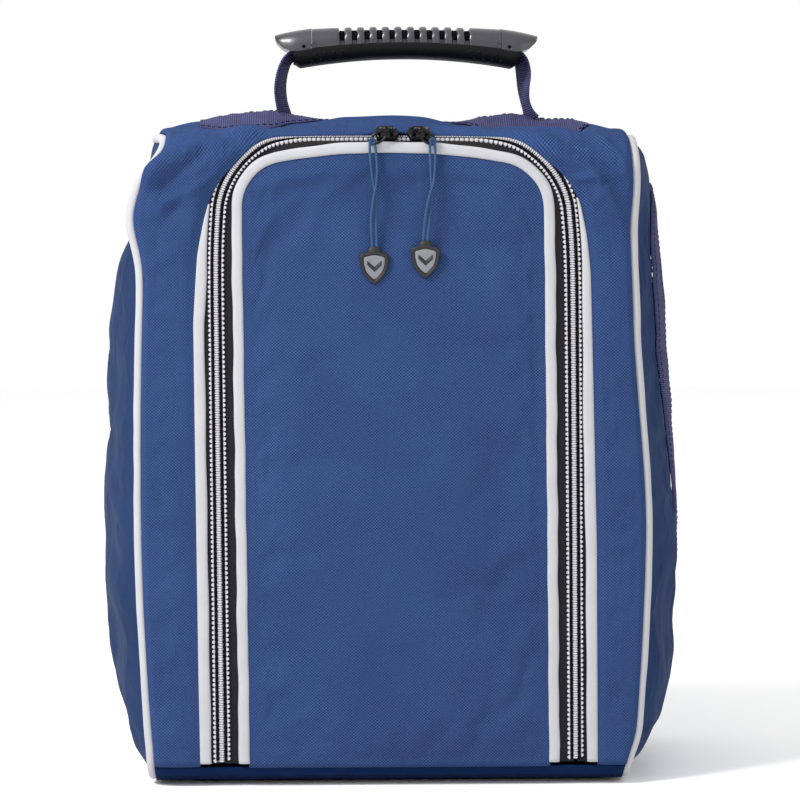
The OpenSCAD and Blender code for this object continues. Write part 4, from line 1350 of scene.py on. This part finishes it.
def sweep_half(name, u, top, low, material, slot, node, dent=None, taper=None):
    """Moulded half of the handle: at each u a rounded arch from the edge low up to top, closed below."""
    n, floor_n = 40, 7
    a = np.linspace(math.pi, 0, n)
    y0, z0 = HANDLE_HALF_D * signed_power(np.cos(a), 0.62), np.abs(np.sin(a)) ** 0.75
    floor_y = np.linspace(1, -1, floor_n + 2)[1:-1] * HANDLE_HALF_D * 0.9
    dent, taper = (np.zeros(len(u)) if v is None else v for v in (dent, taper))
    rows = []
    for uu, t, b, cut, less in zip(u, top, low, dent, taper):
        yy = y0 * (1.0 - less) * (1 - 0.13 * cut)
        zz = b + (t - b) * z0 - cut * 5.2 * smoothstep(0.30, 0.42, z0)
        rows.append(np.concatenate([np.stack([np.full(n, uu), yy, zz], -1),
                                    np.stack([np.full(floor_n, uu), floor_y * (1.0 - less),
                                              np.full(floor_n, b)], -1)]))
    pts = np.array(rows)
    pts[..., 0] += HANDLE_X
    obj = grid_object(name, pts, wrap_m=True, material=material)
    closed_up(obj, *end_rings(len(u), pts.shape[1]))
    modifier(obj, "EDGE_SPLIT", split_angle=math.radians(48))
    place(obj, "handle", slot, node)


def make_handle():
    """The handle's ribbed shell, soft grip, end caps and pins."""
    centres = (np.arange(SLOTS) - (SLOTS - 1) / 2) * SLOT_PITCH - 1.0
    ribs = [c + off for c in centres for off, _ in SLOT_CUT]
    plain = 10                  # columns in each unribbed end
    u = np.concatenate([np.linspace(-SHELL_HALF, ribs[0] - 0.5, plain), ribs,
                        np.linspace(ribs[-1] + 0.8, SHELL_HALF, plain)])
    dent = np.pad(np.tile([float(cut) for _, cut in SLOT_CUT], SLOTS), plain)
    sweep_half("handle_upper", u, handle_top(u) - 0.25, parting(u) + 0.05, GRIP_GREY, "grip_grey",
               "handle_shell", dent)
    make_slot_floors(centres)
    # the grip is the same arch upside down
    u = np.linspace(-GRIP_HALF, GRIP_HALF, 90)
    past = smoothstep(SHELL_HALF, GRIP_HALF, np.abs(u))
    top = np.where(np.abs(u) < SHELL_HALF, parting(u) - 0.1, parting(SHELL_HALF) - 0.1 - 1.6 * past)
    sweep_half("handle_lower", u, grip_low(u), top, GRIP_BLACK, "grip_black", "handle_grip")
    make_grip_bumps()
    for s, side in ((-1, "left"), (1, "right")):
        make_cap(s, side)
    for s, side in ((-1, "left"), (1, "right")):
        make_pins(s, side)


def make_slot_floors(centres):
    """Near-black sheet at the bottom of each slot, darker than the grip: painted shade of the deep slots."""
    verts, faces = [], []
    a = np.linspace(math.radians(168), math.radians(12), 22)
    for c in centres:
        k = len(verts)
        t, b = float(handle_top(c)) - 0.25, float(parting(c))
        for du in (-SLOT_W / 2 + 0.02, SLOT_W / 2 - 0.02):
            for ang in a:
                cy, sy = math.cos(ang), abs(math.sin(ang))
                y = HANDLE_HALF_D * signed_power(cy, 0.62) * 0.95
                z = b + (t - b) * sy ** 0.75 - 1.7 * float(smoothstep(0.30, 0.42, sy ** 0.75))
                verts.append((HANDLE_X + c + du, y, z))
        n = len(a)
        faces += [[k + i, k + i + 1, k + n + i + 1, k + n + i] for i in range(n - 1)]
    obj = mesh_object("handle_slot_shade_insert", verts, faces, material=SLOT_SHADE_BLACK)
    thicken(obj, 0.3, offset=0)
    place_small(obj, "handle", "grip_black")


def make_grip_bumps():
    """Small raised dots near both ends of the soft lower half."""
    verts, faces = [], []
    for s in (-1, 1):
        for z_off, us in ((-3.0, (-46, -41.5, -37, -32.5)), (-6.0, (-48, -43.5, -39, -34.5))):
            for uu in us:
                u = -s * uu
                z = float(parting(u)) + z_off
                level = (-z_off / (float(parting(u)) - float(grip_low(u)))) ** (1 / 0.75)
                y = -HANDLE_HALF_D * (1 - level**2) ** 0.31 + 0.1
                k = len(verts)
                for r, out in ((0.75, 0.0), (0.6, 0.3), (0.3, 0.45)):
                    for i in range(8):
                        a = i * math.pi / 4
                        verts.append((HANDLE_X + u + r * math.cos(a), y - out, z + r * math.sin(a)))
                faces += stack_faces(3, 8, k, capped=False)
                faces.append([k + 16 + i for i in range(8)])
    place_small(mesh_object("handle_dots", verts, faces, material=GRIP_BLACK), "handle", "grip_black")


def make_cap(s, side):
    """The cap that closes one end of the handle."""
    u = SHELL_HALF + np.array([0.2, 0.6, 1.5, 4, 7, 10, 12.5, 14.5, 16, 17.2, 18.2, 18.8])
    past = u - SHELL_HALF
    top = BODY_H + np.interp(past, (0.2, 8, 15, 19), (44.7, 43.6, 42.2, 41.0))
    low = BODY_H + np.interp(past, (0.2, 6, 10, 14.5, 18, 19), (33.6, 32.6, 32.6, 34.0, 37.2, 39.8))
    sweep_half(f"handle_end_{side}", s * u, top, low, GRIP_GREY, "grip_grey", "handle_cap_" + side,
               taper=0.28 * smoothstep(8, 19, past))


def make_pins(s, side):
    """A black disc whose dark is painted shade of a hole, and a ring mark by each cap."""
    front = -HANDLE_HALF_D
    x, z = HANDLE_X + s * (SHELL_HALF + 4.2), BODY_H + 34.9
    # flat disc whose black is painted shade of the hole
    hole = tube(f"handle_hole_{side}", np.array([(x, front - 0.12, z), (x, front + 0.4, z)]), 0.9, 20,
                material=SLOT_SHADE_BLACK, up=(0, 0, 1))
    place_small(hole, "handle", "grip_black")
    a = full_turn(24)
    x, z = HANDLE_X + s * (SHELL_HALF - 1.0), BODY_H + 35.4
    ring = np.stack([x + 1.25 * np.cos(a), np.full(24, front - 0.02), z + 1.25 * np.sin(a)], 1)
    pin = tube(f"handle_pin_{side}", ring, 0.18, 6, closed=True, material=PIN)
    place_small(pin, "handle", "pin", "handle_pins")


# each leg of the strap from the grip down: place along the handle, height and twist in degrees
STRAP_LEGS = {
    -1: ((-50, 365.0, 5), (-55.6, 364.2, 9), (-60.5, 360.5, 12), (-62.9, 354, 14), (-63.9, 347, 16),
         (-63.4, 340.5, 20), (-62.2, 335.5, 26), (-61.6, 331.5, 30)),
    1: ((51, 365.0, -5), (56.2, 364.2, -10), (59.2, 360, -16), (60.2, 353.5, -18), (60.0, 346.5, -12),
        (60.8, 340, -9), (62.6, 334.5, -14), (64.8, 330.0, -24))}


def strap_line(points):
    """A leg's middle line, smoothed between the points given for it."""
    points = np.array(points, float)
    line = sampled(points, np.linspace(0, len(points) - 1, 60), np.arange(len(points)))
    pad = np.vstack([line[:1]] * 3 + [line] + [line[-1:]] * 3)
    return np.stack([np.convolve(pad[:, k], np.ones(7) / 7, "valid") for k in range(3)], 1)


def make_strap():
    """Edge-on webbing legs, twisted a little, from the bag up into the grip."""
    for s, side in ((-1, "left"), (1, "right")):
        u, z, twist = strap_line(STRAP_LEGS[s]).T
        tan = unit(np.gradient(np.stack([u, z], 1), axis=0))
        half, a, rows = 9.5 - 2.5 * hump(z, 336, 7), full_turn(28), []
        for k in range(len(u)):
            w, th = half[k] * signed_power(np.cos(a), 0.5), 0.95 * signed_power(np.sin(a), 0.5)
            cup = 0.5 * (w / half[k]) ** 2 * s
            ang = math.radians(twist[k])
            across = w * math.sin(ang) + (th + cup) * math.cos(ang)
            deep = w * math.cos(ang) - (th + cup) * math.sin(ang)
            nx, nz = -tan[k, 1], tan[k, 0]
            rows.append(np.stack([HANDLE_X + u[k] + across * nx, deep, z[k] + across * nz], -1))
        length = distances(np.stack([u, z], 1))
        uv = np.stack(np.broadcast_arrays(length[:, None], (9.5 * np.cos(a))[None]), -1)
        obj = grid_object(f"strap_leg_{side}", np.array(rows), uv * MM, wrap_m=True, flip=True,
                          material=WEBBING)
        closed_up(obj, *end_rings(len(u), len(a)))
        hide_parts("handle_strap")
        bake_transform(obj)


# ---------------------------------------------------------------- sliders and bails
def superellipse(w, h, n=40, power=0.55):
    """Outline of a squared-off oval, given its half sizes."""
    a = full_turn(n)
    return np.stack([w * signed_power(np.cos(a), power), h * signed_power(np.sin(a), power)], 1)


def lofted(name, rings, matrix):
    """Closed glossy solid through rings of (outline, height), placed by matrix = (origin, right, up, out)."""
    origin, right, up, out = matrix
    verts = np.vstack([origin + ring[:, :1] * right + ring[:, 1:] * up + height * out
                       for ring, height in rings])
    faces = stack_faces(len(rings), len(rings[0][0]))
    return closed_up(mesh_object(name, verts, faces, material=GLOSS_BLACK))


SLIDER_X = {"left": -5.0, "right": 11.0}
SLIDER_TILT = math.radians(48)
PLATES = (("top", 2.5, 4.4, 5.5, 4.9), ("under", -2.2, -0.9, 5.3, 4.6))     # name, low, high, half sizes


def make_slider(side, s):
    """Two plates with the web between them and a raised rim, the bridge on top and the bail under it."""
    body, x = "slider_" + side, SLIDER_X[side]
    height = ARCH_H - ARCH_R + math.sqrt(ARCH_R**2 - x**2)
    at = shell(x + 3.4, height + ARCH_TOP - ARCH_H + TEETH_SHIFT - SEAM_Z, 0.0)
    right, up = np.array((1.0, 0, 0)), np.array((0, math.sin(SLIDER_TILT), math.cos(SLIDER_TILT)))
    out = np.cross(right, up)
    origin = np.array((x, at[1], at[2]))
    matrix = (origin, right, up, out)
    for name, low, high, w, h in PLATES:
        rings = [(superellipse(w - less, h - less), level) for less, level in (
            (0.5, low), (0, low + 0.4), (0, high - 0.7), (0.5, high - 0.15), (1.4, high))]
        nodes = [body] if name == "top" else []
        place_small(lofted(f"slider_{name}_{side}", rings, matrix), body, "slider_black", *nodes)
    edge = superellipse(4.9, 4.1, 48, 0.7)
    rim = tube(f"slider_rim_{side}", origin + edge[:, :1] * right + edge[:, 1:] * up + 4.3 * out, 0.75, 10,
               closed=True, material=GLOSS_BLACK, up=out)
    place_small(rim, body, "slider_black")
    web = [(superellipse(2.2, 0.45), level) for level in (-1.2, 2.8)]
    place_small(lofted(f"slider_web_{side}", web, matrix), body, "slider_black")
    pivot = np.array((x + s * 0.5, FRONT_Y - 5.6, height))
    make_bridge(side, s, pivot, matrix)
    make_bail(side, s, pivot)


def make_bridge(side, s, pivot, matrix):
    """The loop on a slider that holds the bail's inner bar at the pivot."""
    origin, right, up, out = matrix
    lift, reach = np.dot(pivot - origin, out), np.dot(pivot - origin, up)
    path = np.array([origin + (s * 0.5 + 3.1 * math.cos(t)) * right + (reach * math.sin(t)) * up
                     + (3.6 + (lift - 2.0) * math.sin(t) ** 0.7 if math.sin(t) > 0 else 3.6) * out
                     for t in np.linspace(-0.15, math.pi + 0.15, 18)])
    bridge = tube(f"slider_bridge_{side}", path, 0.85, 12, material=GLOSS_BLACK, up=(0, 0, 1), squash=1.6)
    place_small(bridge, "slider_" + side, "slider_black")


def make_bail(side, s, pivot):
    """An oval ring that droops outward from the bridge to where the cord swings."""
    t = full_turn(56)
    hang = cord_ends(side) - pivot
    droop = math.atan2(hang[2], abs(hang[0]))
    reach, half = math.hypot(hang[0], hang[2]) + 0.4, 2.3
    long = reach / 2 - reach / 2 * signed_power(np.cos(t), 0.75)
    narrow = 1 - 0.25 * np.clip(1 - long / 4, 0, 1)
    along, across = long - 0.4, half * signed_power(np.sin(t), 0.75) * narrow
    path = np.stack([pivot[0] + s * (along * math.cos(droop) - across * math.sin(droop)),
                     np.full(len(t), pivot[1]),
                     pivot[2] + along * math.sin(droop) + across * math.cos(droop)], 1)
    bail = tube(f"bail_ring_{side}", path, 0.6, 12, closed=True, material=GLOSS_BLACK)
    place_small(bail, "bail_" + side, "slider_black", "bail_" + side)


# ---------------------------------------------------------------- build everything
make_zip()
make_teeth("teeth_outer", 1, "bag", "zip_teeth_outer")
make_teeth("teeth_inner", -1, "door", "zip_teeth_inner")
make_stitch_lines()
make_door()
make_surround()
for side_sign in (-1, 1):
    make_side_panel(side_sign)
    make_piping(side_sign)
make_mesh()
make_window_frame()
make_back()
make_bottom()
make_base()
make_top_webbing()
make_handle()
make_strap()
make_slider("left", -1)
make_slider("right", 1)
